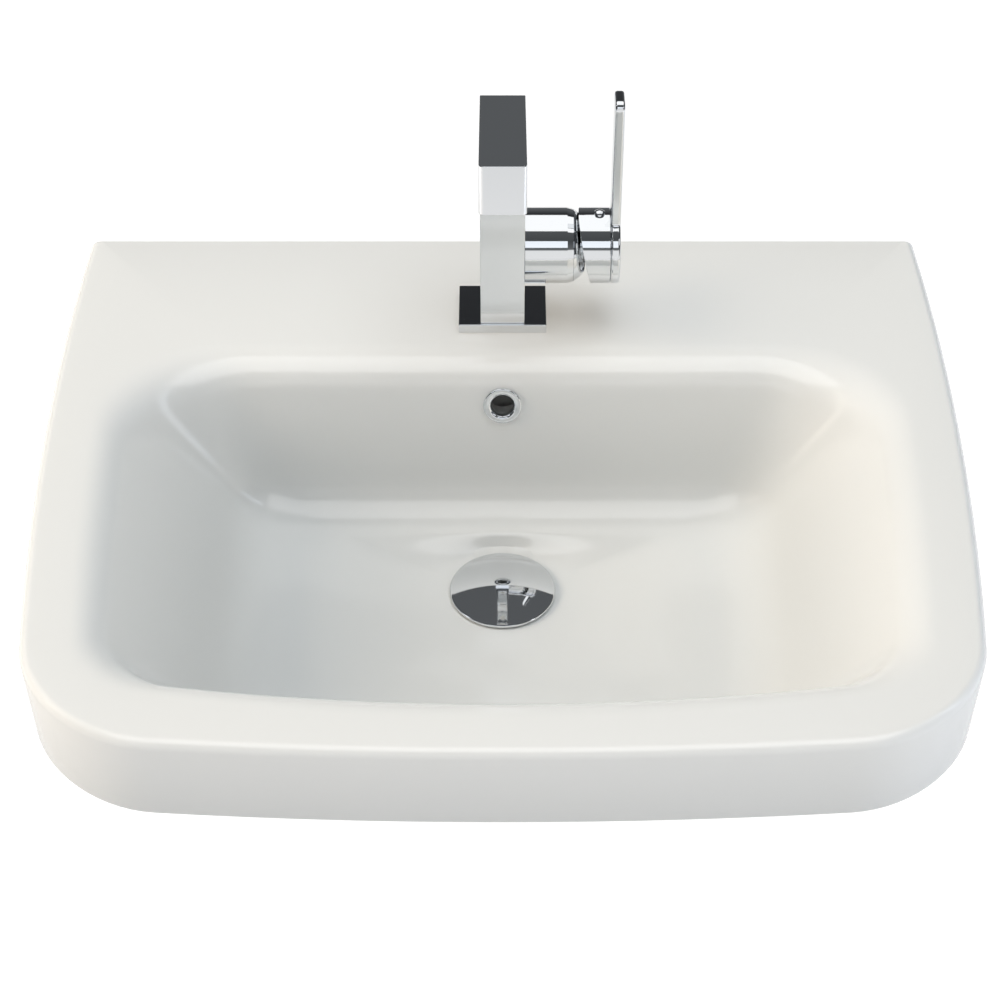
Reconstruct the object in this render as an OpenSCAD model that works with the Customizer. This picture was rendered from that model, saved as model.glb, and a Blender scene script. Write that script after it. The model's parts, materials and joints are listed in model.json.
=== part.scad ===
// Wall-hung washbasin with a side-lever mixer tap and a push plug.
// Origin: on the wall, midway between the two wall bolts. +X right, -Y away from the wall, +Z up.
// Inside the file a place is given as its distance from the wall and its height above the rim.

/* [Basin] */
// Greatest width of the basin
basin_w = 560; // [545:1:620]
// Depth from the wall to the front edge
basin_d = 460; // [445:1:500]
// Distance from the wall at which the basin is widest
widest_d = 150; // [110:5:200]
// Radius of the gently bowed sides
side_bow_r = 2400; // [1800:50:6000]
// Radius of the gently bowed front
front_bow_r = 3000; // [2000:50:8000]
// Radius of the front corners in plan
front_corner_r = 75; // [65:1:90]
// Radius of the back corners in plan
back_corner_r = 2; // [1.5:0.5:5]
// Rounding of the top edge
edge_r = 6; // [4:0.5:7]
// Rounding of the top edge along the wall
wall_edge_r = 1.5; // [1:0.5:2]
// Rounding of the skirt's foot
foot_r = 2; // [1:0.5:3]
// Height of the skirt
skirt_h = 60; // [50:1:70]
// How far the skirt leans in at its foot
skirt_lean = 2.5; // [1:0.5:4]
// Wall of the skirt
skirt_t = 13; // [11:0.5:15]
// Thickness of the deck
deck_t = 14; // [12:0.5:16]

/* [Back panel] */
// Thickness of the back panel
panel_t = 14; // [12:0.5:16]
// Height of the back panel below the rim
panel_h = 135; // [125:1:150]
// Half width of the panel's straight foot
panel_half_w = 185; // [175:1:200]
// Width over which the panel's foot rises to the skirt
panel_rise_w = 46; // [35:1:55]
// Height of the rim above the wall bolts
rim_h = 90; // [80:1:100]
// Spacing of the wall bolts
bolt_spacing = 280; // [240:5:310]
// Diameter of the wall bolt holes
bolt_hole_d = 14; // [12:0.5:16]

/* [Bowl] */
// Depth of the deck from the wall to the bowl
deck_d = 111; // [108:1:116]
// Flat rim beside the bowl
side_rim = 28; // [26:1:34]
// Flat rim in front of the bowl
front_rim = 25; // [22:1:30]
// Corner radius at the back of the bowl's lip
bowl_back_r = 75; // [70:1:90]
// Corner radius at the front of the bowl's lip
bowl_front_r = 40; // [36:1:60]
// Radius of the bowed front of the bowl
bowl_bow_r = 1060; // [900:20:2000]
// Loss of back corner radius per millimetre of depth
back_r_loss = 0.5; // [0.4:0.02:0.56]
// Loss of front corner radius per millimetre of depth
front_r_loss = 0.12; // [0.06:0.02:0.2]
// Depth of the bowl where its floor meets the walls
floor_h = 103; // [98:1:106]
// Fall of the floor towards the waste
floor_fall = 9; // [6:1:11]
// Flat radius round the waste
waste_flat_r = 38; // [36:1:42]
// Wall of the bowl
bowl_t = 12; // [10:0.5:13]
// Rounding of the lip at the back
back_lip_r = 25; // [20:1:27]
// Rounding of the lip at the sides
side_lip_r = 28; // [22:1:32]
// Rounding of the lip at the front
front_lip_r = 24; // [20:1:26]
// Lean of the back wall from upright
back_lean = 13; // [11:1:15]
// Lean of the side walls from upright
side_lean = 38; // [34:1:40]
// Lean of the front wall from upright
front_lean = 25; // [20:1:28]
// Radius between the back wall and the floor
back_fillet_r = 28; // [22:1:36]
// Radius between the side walls and the floor
side_fillet_r = 55; // [45:1:60]
// Radius between the front wall and the floor
front_fillet_r = 40; // [32:1:46]

/* [Overflow] */
// Depth of the overflow hole's centre below the rim
overflow_h = 29; // [28:0.5:31]
// Diameter of the overflow hole in the ceramic
overflow_hole_d = 22; // [21:0.5:23]
// Diameter of the trim ring
overflow_ring_d = 24.4; // [24:0.1:26]
// How far the trim ring stands out
overflow_ring_t = 2.6; // [2:0.1:3.2]
// Bore of the trim ring
overflow_bore_d = 14.5; // [13:0.5:16]
// Wall thickness of the trim ring's sleeve
overflow_sleeve_t = 1.2; // [1:0.1:1.6]
// Width of the overflow channel
channel_w = 28; // [25:1:32]
// Distance from the wall to the back of the channel
channel_d = 111; // [110:0.5:112]
// Depth of the channel behind the overflow hole
channel_gap = 10; // [9:0.5:11]
// Height of the channel under the floor
channel_h = 14; // [12:1:15]
// Ceramic round the channel
channel_t = 6; // [5:0.5:7]
// Extra ceramic between the bowl floor and the channel
channel_roof = 5; // [4:0.5:6]

/* [Waste] */
// Distance from the wall to the waste
waste_d = 223; // [218:1:232]
// Bore for the waste in the ceramic
waste_bore_d = 46; // [45:0.5:47]
// Outer diameter of the boss under the bowl
boss_d = 92; // [86:1:96]
// Depth of the boss's foot below the rim
boss_foot_h = 160; // [158:1:166]
// Diameter of the waste flange
flange_d = 62; // [60:0.5:63]
// Thickness of the flange
flange_t = 2.5; // [2:0.1:3]
// How far the flange stands above the bowl floor
flange_proud = 0.5; // [0.3:0.1:0.8]
// Thickness of the ring under the flange
flange_seal_t = 1; // [0.8:0.1:1.5]
// Outer diameter of the waste tube
tube_d = 41.9; // [41.4:0.1:42.4]
// Inner diameter of the waste tube
tube_bore_d = 37; // [36:0.5:38]
// Length of the waste from the flange's top to its tail
waste_len = 98; // [96:1:110]
// Length of the thread for the trap at the waste's tail
tail_len = 29; // [24:1:29]
// Width of each overflow slot in the tube
slot_w = 14; // [12:1:16]
// Height of each overflow slot in the tube
slot_h = 12; // [10:1:12]
// Height of the lower seal
lower_seal_t = 6; // [5:0.5:7]
// Outer diameter of the lower seal and its washer
lower_seal_d = 62; // [58:1:66]
// Thickness of the waste washer
waste_washer_t = 1.5; // [1:0.1:2]
// Thickness of the backnut
backnut_t = 9; // [8:0.5:10]
// Width of the backnut across its flats
backnut_af = 54; // [52:1:58]

/* [Plug] */
// Diameter of the plug cap
plug_d = 66.6; // [65:0.1:68]
// Height of the dome of the plug cap
dome_h = 4.6; // [4:0.1:5.5]
// Thickness of the plug cap's rim
plug_rim_t = 1.9; // [1.6:0.1:2.2]
// Height of the closed cap's rim above the bowl floor
plug_clear = 1; // [0.8:0.1:1.4]
// Travel of the plug from closed to open
plug_travel = 8.5; // [7:0.5:10]
// Middle diameter of the plug seal
plug_seal_d = 52; // [51:0.5:54]
// Width of the plug seal
plug_seal_w = 4; // [3:0.5:4.5]
// Diameter of the plug stem
stem_d = 6; // [5:0.5:7]
// Diameter of the stem's collar
collar_d = 13; // [12.6:0.1:13.4]
// Outer diameter of the plug mechanism
mech_d = 18; // [17.8:0.1:19]
// Length of the plug mechanism
mech_len = 42; // [40:1:48]
// Thickness of the hub and its spokes
hub_t = 7; // [6:0.5:9]
// Width of a spoke
spoke_w = 4; // [3:0.5:5]
// Thickness of the spring's wire
spring_wire = 1.2; // [1:0.1:1.4]
// Depth of the mechanism's top below the flange
mech_set = 5; // [4.6:0.1:6]

/* [Tap] */
// Distance from the wall to the tap hole
tap_d = 80; // [79:0.5:81]
// Diameter of the tap hole
tap_hole_d = 35; // [34:0.5:35.5]
// Width of the base plate
plate_w = 56; // [52:1:60]
// Depth of the base plate
plate_d = 42; // [41:0.5:44]
// Thickness of the base plate
plate_t = 6.5; // [5.5:0.5:8]
// Width of the column and the spout
column_w = 28; // [27:0.5:30]
// Depth of the column
column_d = 39; // [38:0.5:39.5]
// How far the column's face stands behind the plate's front
column_set = 1.5; // [1:0.5:2]
// Height of the top of the column at its back
column_h = 152.1; // [148.1:0.2:165.1]
// Rise of the spout in degrees
spout_rise = 12; // [9:0.5:14]
// Length of the spout along its top
spout_len = 115; // [110:0.5:122]
// Height of the spout's section
spout_t = 30; // [28:0.5:32]
// Distance of the outlet from the spout's end
outlet_set = 17; // [16:0.5:19]
// Diameter of the outlet sleeve
outlet_d = 22; // [21:0.5:22.5]
// Depth of the outlet's hole in the spout
outlet_h = 13; // [12:0.5:14]
// How far the outlet sleeve stands out
outlet_proud = 2.5; // [2:0.1:3.5]
// Diameter of the shank below the plate
shank_d = 28; // [27.6:0.1:29]
// Length of the shank below the deck's surface
shank_h = 6; // [5:0.5:7]
// Wall diameter of the inlet threads
inlet_d = 9; // [8.5:0.1:9.5]
// Length of the inlet threads
inlet_len = 13; // [12:0.5:14]
// Spacing of the inlets
inlet_spacing = 15; // [14.6:0.1:15.4]
// Distance of the inlets left of the tap's middle
inlet_set = 3; // [2.6:0.1:3.2]
// Diameter of the inner water ways
way_d = 7; // [6:0.5:7.5]
// Thickness of the base gasket's section
gasket_t = 1.5; // [1.2:0.1:1.8]
// Width of the base gasket's section
gasket_w = 1.6; // [1.4:0.1:1.8]

/* [Tap fixing] */
// Diameter of the fixing stud
stud_d = 8; // [7.6:0.1:8.2]
// Length of the fixing stud
stud_len = 62; // [58:1:80]
// Depth to which the stud is screwed into the shank
stud_grip = 11; // [9:0.5:11.5]
// Distance of the stud right of the tap's middle
stud_set = 7.5; // [7:0.1:8]
// Outer diameter of the horseshoe pieces
shoe_d = 40; // [39:0.5:41]
// Width of the slot in the horseshoe pieces
shoe_slot_w = 24; // [22:0.5:25]
// How far that slot runs past the tap's middle
shoe_slot_end = 2; // [1.7:0.1:2.2]
// Thickness of the horseshoe gasket
shoe_gasket_t = 3; // [2:0.1:4]
// Thickness of the horseshoe washer
shoe_washer_t = 2.5; // [2:0.1:3]
// Width of the fixing nut across its flats
stud_nut_af = 13; // [12:0.5:14]
// Height of the fixing nut
stud_nut_h = 14; // [10:1:18]

/* [Cartridge] */
// Height of the cartridge's axis above the rim
axis_h = 54; // [52:0.5:56]
// Outer diameter of the cartridge housing
housing_d = 48; // [47:0.5:50]
// Distance of the housing's end from the tap's middle
housing_end = 44.5; // [44:0.1:45]
// Length of the chamfer at the housing's end
housing_chamfer = 4; // [3:0.5:5]
// Diameter of the cartridge chamber
chamber_d = 35.2; // [35:0.1:36]
// Distance of the chamber's floor from the tap's middle
chamber_x = 6; // [5.6:0.1:6.2]
// Thickness of the port seals
port_seal_t = 1; // [0.8:0.1:1.2]
// Thickness of the cartridge base
cart_base_t = 4; // [3.5:0.1:4.5]
// Length of the cartridge body over its base
cart_len = 22; // [21.6:0.1:22.4]
// Wall of the cartridge body
cart_wall = 3; // [2.8:0.1:3.1]
// Thickness of the cartridge body's lid
cart_lid_t = 4; // [3.8:0.1:4.2]
// Drop of the two inlet ports below the axis
port_drop = 6; // [5.5:0.5:6.5]
// Rise of the outlet port above the axis
port_rise = 8; // [7.5:0.5:8.5]
// Thickness of the fixed disc
fixed_disc_t = 3.5; // [3:0.1:4]
// Thickness of the moving disc
moving_disc_t = 3; // [2.6:0.1:3.4]
// Diameter of the moving disc
moving_disc_d = 21; // [20:0.1:21]
// Thickness of the carrier
carrier_t = 6.7; // [6.5:0.1:6.8]
// Thickness of the rotor's disc
rotor_t = 4; // [3.6:0.1:4.2]
// Diameter of the rotor's neck
rotor_neck_d = 18.6; // [18:0.1:19]
// How far the neck stands out of the cartridge
rotor_proud = 3.5; // [3:0.1:4]
// Distance of the tilt pivot from the tap's middle
pivot_x = 31; // [30.9:0.05:31.1]
// Diameter of the pivot pin
pin_d = 3; // [2.5:0.1:3.2]
// Diameter of the spindle
spindle_d = 8; // [7.8:0.1:8.2]
// Diameter of the spindle's ball
ball_d = 6; // [5.8:0.1:6]
// Distance from the pivot to the ball's middle
ball_arm = 8.5; // [8.3:0.1:8.6]
// Thickness of the cartridge nut
cart_nut_t = 6; // [5:0.5:6.4]
// Bore of the cartridge nut
cart_nut_bore = 24.6; // [24:0.2:26]
// Radius of the dome ring about the pivot
dome_r = 26.6; // [26.4:0.1:26.8]
// Bore of the dome ring
dome_bore_d = 30.4; // [30:0.1:30.6]
// Distance of the dome ring's end from the tap's middle
dome_end = 51.5; // [51:0.1:51.8]

/* [Handle] */
// Distance of the cap's edge from the tap's middle at its top
cap_x = 47.3; // [47.2:0.1:48]
// Distance of the cap's end from the tap's middle
cap_end = 67.3; // [67:0.1:70]
// How far the slanted edge falls back at the bottom
cap_slant = 9.5; // [8:0.5:10]
// Wall of the cap
cap_wall = 2; // [1.8:0.1:2]
// Thickness of the cap's end
cap_end_t = 3; // [2.8:0.1:3.4]
// Diameter of the hub inside the cap
hub_d = 16; // [15:0.5:16]
// Distance from the hub's start to the tap's middle
hub_x = 57; // [57:0.1:57.4]
// Thickness of the lever
lever_t = 6.2; // [5.5:0.1:7]
// Width of the lever
lever_w = 20; // [18:0.5:24]
// Height of the lever's tip above the rim
lever_h = 163.5; // [150:0.5:175]
// Corner radius of the lever's tip
lever_tip_r = 5; // [3:0.5:8]
// Diameter of the lever screws
lever_screw_d = 4; // [3.5:0.1:4.2]
// Diameter of the lever screws' heads
screw_head_d = 7; // [6.5:0.1:7.2]
// Height of the lever screws' heads
screw_head_h = 2.4; // [2:0.1:2.6]
// Half spacing of the lever screws
screw_half = 14; // [13:0.5:15]
// Depth of the lever screws below the axis
screw_drop = 5; // [4:0.5:6]
// Diameter of the grub screw
grub_d = 4.8; // [4.4:0.1:5]
// Length of the grub screw
grub_len = 5; // [4.5:0.1:6]
// Distance of the grub screw and the index button from the tap's middle
index_x = 60.5; // [60.2:0.1:60.8]
// Diameter of the index button
index_d = 6.6; // [6:0.1:7]
// How far the index button stands out
index_proud = 2.6; // [2:0.1:3]

/* [Clearances] */
// Radial clearance of pieces that turn or slide in one another
run_fit = 0.06; // [0.03:0.01:0.09]
// Radial clearance of pieces that are screwed or pushed together
seat_fit = 0.05; // [0.02:0.01:0.08]
// Clearance between faces that pass one another
face_gap = 0.3; // [0.2:0.05:0.35]

/* [Hidden] */
$fn = 64;
eps = 0.02;
cut = 1;

// Points along the rib's side view
rib_steps = 7;

// Points along each stretch of half an outline
back_steps = 12;
corner_steps = 7;
side_steps = 5;
front_steps = 6;

// Depths of the rings down the bowl's inside
lip_levels = [0.6, 2.5, 6, 12, 20];
wall_levels = [45, 66];
fillet_levels = [for (a = [48, 58, 68, 77, 85, 90]) floor_h - side_fillet_r * (1 - sin(a))];
in_levels = concat(lip_levels, wall_levels, fillet_levels);
// Depths of the rings down the bowl's outside
out_levels = [deck_t, 55, 82, 97, 107, 113, floor_h + bowl_t];

// Small sizes of the overflow ring: sleeve, rounded edge and chamfered mouth
ring_sleeve_len = 8;
ring_edge_r = 1;
ring_mouth = 2;

// Small sizes of the waste: gap round the flange, chamfered mouth, thread relief, spider and mechanism
recess_gap = 0.5;
waste_mouth = 3;
tail_relief_w = 2;
tail_relief = 1;
hub_set = 2;
hub_wall = 2.5;
chamber_cover = 8;
chamber_floor = 2;
chamber_gap = 0.5;
collar_h = 3;
stem_proud = 3;
spring_gap = 1;
cap_shell_t = 2;
cap_boss_wall = 3;
cap_boss_h = 5;

// Small sizes of the tap body and its outlet
chamfer_w = 1.1;
spout_way = 13;
spout_way_set = 8;
spout_way_d = 11;
gasket_gap = 0.4;
aerator_seal_t = 2;
aerator_floor = 1;
aerator_wall = 1.5;
aerator_lip = 1;
flow_hole_r = 1;
outer_flow = 0.72;

// Small sizes of the cartridge and the handle
port_step = 1;
port_seal_w = 1.5;
carrier_edge = 0.5;
carrier_floor = 1.4;
ball_gap = 0.2;
pin_set = 0.6;
spindle_heel = 4;
ball_neck = 2.2;
spindle_set = 1.3;
button_seat = 1;
screw_cover = 2;
screw_end_gap = 0.2;

// Places that follow from the sizes above
waste_floor_h = floor_h + floor_fall;
flange_top_h = waste_floor_h - flange_proud;
flange_foot_h = flange_top_h + flange_t;
recess_h = flange_foot_h + flange_seal_t;
waste_tail_h = flange_top_h + waste_len;
channel_top_h = waste_floor_h + bowl_t + channel_roof;
slot_top_h = channel_top_h + (channel_h - slot_h) / 2;
plug_rim_h = waste_floor_h - plug_clear;
plug_inner_h = plug_rim_h - plug_rim_t;
mech_top_h = flange_top_h + mech_set;
mech_foot_h = mech_top_h + mech_len;
chamber_top_h = mech_top_h + chamber_cover;
chamber_foot_h = mech_foot_h - chamber_floor;
collar_top_h = chamber_top_h + plug_travel + face_gap;
collar_foot_h = collar_top_h + collar_h;
column_back = tap_d + plate_d / 2 - column_set - column_d;
cart_base_x = chamber_x + port_seal_t;
disc_x = cart_base_x + cart_base_t;
moving_x = disc_x + fixed_disc_t;
carrier_x = moving_x + moving_disc_t;
rotor_x = carrier_x + carrier_t + face_gap;
cart_end_x = disc_x + cart_len;
cart_r = chamber_d / 2 - seat_fit;
cart_in_r = cart_r - cart_wall;
ball_x = pivot_x - ball_arm;
neck_end_x = cart_end_x + rotor_proud;
spindle_end_x = cap_end - spindle_set;
cap_r = housing_d / 2;

// Joins a list of lists into one list
function flat_list(l) = [for (a = l) for (b = a) b];
// The value part of the way from a to b
function mix(a, b, s) = a + (b - a) * s;

// Half of a rounded outline from the middle of the back to the middle of the front.
// w: half width, near and far: distances from the wall, rn and rf: corner radii
function half_outline(w, near, far, rn, rf) = concat(
    [for (i = [0 : back_steps - 1]) [(w - rn) * i / back_steps, near]],
    [for (i = [0 : corner_steps]) let (a = 90 * i / corner_steps)
        [w - rn + rn * sin(a), near + rn - rn * cos(a)]],
    [for (i = [1 : side_steps - 1]) [w, mix(near + rn, far - rf, i / side_steps)]],
    [for (i = [0 : corner_steps]) let (a = 90 * i / corner_steps)
        [w - rf + rf * cos(a), far - rf + rf * sin(a)]],
    [for (i = [1 : front_steps]) [(w - rf) * (1 - i / front_steps), far]]);

// Bows the straight sides, and the straight front to the radius r
function bowed(p, r) = [
    p[0] * (1 - pow(p[1] - widest_d, 2) / (side_bow_r * basin_w)),
    p[1] - pow(p[1] / basin_d, 3) * pow(p[0], 2) / (2 * r)];

// The whole outline, bowed, in the model's own directions
function outline(w, near, far, rn, rf, r) =
    let (half = half_outline(w, near, far, rn, rf), n = len(half))
    let (bent = [for (p = half) bowed(p, r)])
    concat([for (p = bent) [p[0], -p[1]]], [for (i = [n - 2 : -1 : 1]) [-bent[i][0], -bent[i][1]]]);

function at_height(points, z) = [for (p = points) [p[0], p[1], z]];

// Profile of a bowl wall. t: depth, r: lip radius, a: lean from upright, f: floor radius
function lip_run(t, r, a) = t >= r * (1 - sin(a)) ? r * cos(a) + (t - r * (1 - sin(a))) * tan(a)
    : sqrt(r * r - (r - t) * (r - t));
function fillet_top(a, f) = floor_h - f * (1 - sin(a));
function floor_run(r, a, f) = lip_run(fillet_top(a, f), r, a) + f * cos(a);
function wall_run(t, r, a, f) = t <= fillet_top(a, f) ? lip_run(t, r, a)
    : floor_run(r, a, f) - sqrt(max(0, f * f - pow(t - floor_h + f, 2)));
function outer_run(t, r, a, f) =
    let (g = f + bowl_t, t1 = floor_h - f + g * sin(a))
    t < t1 ? floor_run(r, a, f) - g * cos(a) - (t1 - t) * tan(a)
    : floor_run(r, a, f) - sqrt(max(0, g * g - pow(t - floor_h + f, 2)));

lip_half_w = basin_w / 2 - side_rim;
lip_far = basin_d - front_rim;

function bowl_ring(t) = at_height(outline(
    lip_half_w - wall_run(t, side_lip_r, side_lean, side_fillet_r),
    deck_d + wall_run(t, back_lip_r, back_lean, back_fillet_r),
    lip_far - wall_run(t, front_lip_r, front_lean, front_fillet_r),
    bowl_back_r - back_r_loss * t, bowl_front_r - front_r_loss * t, bowl_bow_r), -t);

function under_ring(t) = at_height(outline(
    lip_half_w - outer_run(t, side_lip_r, side_lean, side_fillet_r),
    deck_d + outer_run(t, back_lip_r, back_lean, back_fillet_r),
    lip_far - outer_run(t, front_lip_r, front_lean, front_fillet_r),
    bowl_back_r - back_r_loss * min(t, floor_h) + bowl_t,
    bowl_front_r - front_r_loss * min(t, floor_h) + bowl_t, bowl_bow_r), -t);

// A ring part of the way from a bowl ring to a circle round the waste
function round_ring(ring, r, s, z) = [for (p = ring)
    let (v = [p[0], p[1] + waste_d], c = v * r / norm(v))
    [mix(p[0], c[0], s), mix(p[1], c[1] - waste_d, s), z]];

// Rings of the outside, set in from the outline by side and by back
function skin_ring(side, back, z) = at_height(outline(basin_w / 2 - side, back, basin_d - side,
    back_corner_r, front_corner_r - side, front_bow_r), z);

// Depth of the foot: the back panel reaches lower than the skirt
function panel_drop(x) = let (s = max(0, min(1, (panel_half_w + panel_rise_w - abs(x)) / panel_rise_w)))
    (panel_h - skirt_h) * s * s * (3 - 2 * s);
function foot_ring(side, back, up) = [for (p = skin_ring(side, back, 0))
    [p[0], p[1], up - skirt_h - (-p[1] <= panel_t + cut ? panel_drop(p[0]) : 0)]];

floor_ring = bowl_ring(floor_h);
under_floor_ring = under_ring(floor_h + bowl_t);

basin_rings = concat(
    [for (s = [1, 0.7, 0.35]) round_ring(floor_ring, waste_flat_r, s, -floor_h - floor_fall * s)],
    [for (i = [len(in_levels) - 1 : -1 : 0]) bowl_ring(in_levels[i])],
    [bowl_ring(0)],
    [for (a = [0, 35, 65, 90]) skin_ring(edge_r * (1 - sin(a)), wall_edge_r * (1 - sin(a)),
        -edge_r * (1 - cos(a)))],
    [foot_ring(skirt_lean, 0, foot_r), foot_ring(skirt_lean + foot_r, foot_r / 2, 0)],
    [foot_ring(skirt_t, panel_t, 0), skin_ring(skirt_t, panel_t, -deck_t)],
    [for (t = out_levels) under_ring(t)],
    [for (h = [waste_floor_h + bowl_t, boss_foot_h]) round_ring(under_floor_ring, boss_d / 2, 1, -h)]);

module lofted(rings) {
    n = len(rings[0]);
    m = len(rings);
    sides = flat_list([for (k = [0 : m - 2]) flat_list([for (i = [0 : n - 1]) let (j = (i + 1) % n)
        [[k * n + i, (k + 1) * n + i, k * n + j], [k * n + j, (k + 1) * n + i, (k + 1) * n + j]]])]);
    ends = [[for (i = [0 : n - 1]) i], [for (i = [n - 1 : -1 : 0]) (m - 1) * n + i]];
    polyhedron(points = flat_list(rings), faces = concat(sides, ends), convexity = 8);
}

// Moves children from rim height and from the places of the main axes to the origin
module at_rim() {
    translate([0, 0, rim_h]) children();
}
module at_waste(h) {
    translate([0, -waste_d, rim_h - h]) children();
}
module at_tap(z) {
    translate([0, -tap_d, rim_h + z]) children();
}
module at_axis(x) {
    translate([x, -tap_d, rim_h + axis_h]) rotate([0, 90, 0]) children();
}
module at_overflow() {
    translate([0, -deck_d - lip_run(overflow_h, back_lip_r, back_lean), rim_h - overflow_h])
        rotate([90 - back_lean, 0, 0]) children();
}
module on_spout() {
    translate([0, -column_back, rim_h + column_h]) rotate([-spout_rise, 0, 0]) children();
}
module ring(r, bore, h) {
    difference() {
        cylinder(r = r, h = h);
        translate([0, 0, -cut]) cylinder(r = bore, h = h + 2 * cut);
    }
}
module hexagon(af, h) {
    cylinder(d = af / cos(30), h = h, $fn = 6);
}

// Side view of the rib that holds the overflow channel: it follows the middle of the bowl's wall
module rib_profile() {
    top = deck_t / 2;
    foot = channel_top_h + channel_h + channel_t;
    levels = [for (i = [1 : rib_steps - 1]) mix(deck_t, floor_h, i / rib_steps)];
    wall = [for (t = levels) [-deck_d - (wall_run(t, back_lip_r, back_lean, back_fillet_r)
        + outer_run(t, back_lip_r, back_lean, back_fillet_r)) / 2, -t]];
    floor_edge = [-deck_d - floor_run(back_lip_r, back_lean, back_fillet_r), -floor_h - bowl_t / 2];
    polygon(concat([[channel_t - channel_d, -foot], [channel_t - channel_d, -top],
        [-deck_d, -top]], wall, [floor_edge, [-waste_d, -waste_floor_h - bowl_t / 2],
        [-waste_d, -foot]]));
}

// Side view of the channel itself, from behind the overflow hole to the waste hole
module channel_profile() {
    top = deck_t + channel_t;
    foot = channel_top_h + channel_h;
    polygon([[-channel_d, -foot], [-channel_d, -top], [-channel_d - channel_gap, -top],
        [-channel_d - channel_gap, -channel_top_h], [-waste_d, -channel_top_h], [-waste_d, -foot]]);
}

// Extrudes a side view across the basin's middle
module across(w) {
    at_rim() translate([-w / 2, 0, 0]) rotate([90, 0, 90]) linear_extrude(w) children();
}

module basin() {
    hole_len = (deck_d + lip_run(overflow_h, back_lip_r, back_lean) - channel_d - channel_gap / 2)
        / cos(back_lean);
    color("white") difference() {
        union() {
            at_rim() lofted(basin_rings);
            across(channel_w + 2 * channel_t) rib_profile();
        }
        // Waste hole and the seat of the flange
        at_waste(boss_foot_h + cut) cylinder(d = waste_bore_d, h = boss_foot_h);
        at_waste(recess_h) cylinder(r = flange_d / 2 + recess_gap, h = recess_h);
        // Overflow hole and channel
        at_overflow() translate([0, 0, -hole_len]) cylinder(d = overflow_hole_d, h = 2 * hole_len);
        across(channel_w) channel_profile();
        // Tap hole and wall bolt holes
        at_tap(-deck_t - cut) cylinder(d = tap_hole_d, h = deck_t + 2 * cut);
        for (s = [-1, 1]) translate([s * bolt_spacing / 2, cut, 0]) rotate([90, 0, 0])
            cylinder(d = bolt_hole_d, h = panel_t + 2 * cut);
    }
}

module overflow_ring() {
    sleeve_r = overflow_hole_d / 2 - seat_fit;
    color("silver") at_overflow() difference() {
        union() {
            translate([0, 0, -ring_sleeve_len]) cylinder(r = sleeve_r, h = ring_sleeve_len + eps);
            rotate_extrude() {
                square([overflow_ring_d / 2, overflow_ring_t - ring_edge_r]);
                square([overflow_ring_d / 2 - ring_edge_r, overflow_ring_t]);
                translate([overflow_ring_d / 2 - ring_edge_r, overflow_ring_t - ring_edge_r])
                    circle(r = ring_edge_r);
            }
        }
        translate([0, 0, -ring_sleeve_len - cut])
            cylinder(r = sleeve_r - overflow_sleeve_t, h = ring_sleeve_len + cut - overflow_ring_t);
        translate([0, 0, -ring_sleeve_len - cut])
            cylinder(d = overflow_bore_d, h = 2 * ring_sleeve_len + 2 * cut);
        translate([0, 0, overflow_ring_t - ring_mouth])
            cylinder(r1 = overflow_bore_d / 2, r2 = overflow_bore_d / 2 + ring_mouth, h = ring_mouth + eps);
    }
}

module waste_body() {
    color("silver") difference() {
        union() {
            at_waste(flange_foot_h) cylinder(d = flange_d, h = flange_t);
            at_waste(waste_tail_h) cylinder(d = tube_d, h = waste_len - flange_t + eps);
        }
        difference() {
            at_waste(waste_tail_h + cut) cylinder(d = tube_bore_d, h = waste_len + 2 * cut);
            // Hub and spokes that carry the plug mechanism
            at_waste(mech_top_h + hub_set + hub_t) {
                cylinder(r = mech_d / 2 + hub_wall, h = hub_t);
                for (a = [30, 150, 270]) rotate([0, 0, a]) translate([0, -spoke_w / 2, 0])
                    cube([(tube_d + tube_bore_d) / 4, spoke_w, hub_t]);
            }
        }
        at_waste(mech_foot_h) cylinder(r = mech_d / 2 + seat_fit, h = mech_len);
        // Chamfered mouth
        at_waste(flange_top_h + waste_mouth)
            cylinder(r1 = tube_bore_d / 2, r2 = tube_bore_d / 2 + waste_mouth, h = waste_mouth + eps);
        for (a = [45, 135]) at_waste(slot_top_h + slot_h) rotate([0, 0, a])
            translate([-tube_d, -slot_w / 2, 0]) cube([2 * tube_d, slot_w, slot_h]);
        // Relief between the backnut's thread and the trap's
        at_waste(waste_tail_h - tail_len) ring(tube_d, tube_d / 2 - tail_relief, tail_relief_w);
    }
}

module waste_flange_seal() {
    color("dimgray") at_waste(recess_h) ring(flange_d / 2 - recess_gap, waste_bore_d / 2, flange_seal_t);
}

module waste_lower_seal() {
    color("dimgray") at_waste(boss_foot_h + lower_seal_t)
        ring(lower_seal_d / 2, tube_d / 2 + seat_fit, lower_seal_t);
}

module waste_washer() {
    color("gainsboro") at_waste(boss_foot_h + lower_seal_t + waste_washer_t)
        ring(lower_seal_d / 2, tube_d / 2 + seat_fit, waste_washer_t);
}

module waste_backnut() {
    color("silver") at_waste(boss_foot_h + lower_seal_t + waste_washer_t + backnut_t) difference() {
        hexagon(backnut_af, backnut_t);
        translate([0, 0, -cut]) cylinder(r = tube_d / 2 + seat_fit, h = backnut_t + 2 * cut);
    }
}

module plug_mechanism() {
    color("gray") difference() {
        at_waste(mech_foot_h) cylinder(d = mech_d, h = mech_len);
        at_waste(mech_foot_h + cut) cylinder(r = stem_d / 2 + run_fit, h = mech_len + 2 * cut);
        at_waste(chamber_foot_h)
            cylinder(r = collar_d / 2 + chamber_gap, h = chamber_foot_h - chamber_top_h);
    }
}

module plug_stem() {
    color("gray") {
        at_waste(mech_foot_h - stem_proud) cylinder(d = stem_d, h = mech_foot_h - stem_proud - plug_inner_h);
        at_waste(collar_foot_h) cylinder(d = collar_d, h = collar_h);
    }
}

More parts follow.
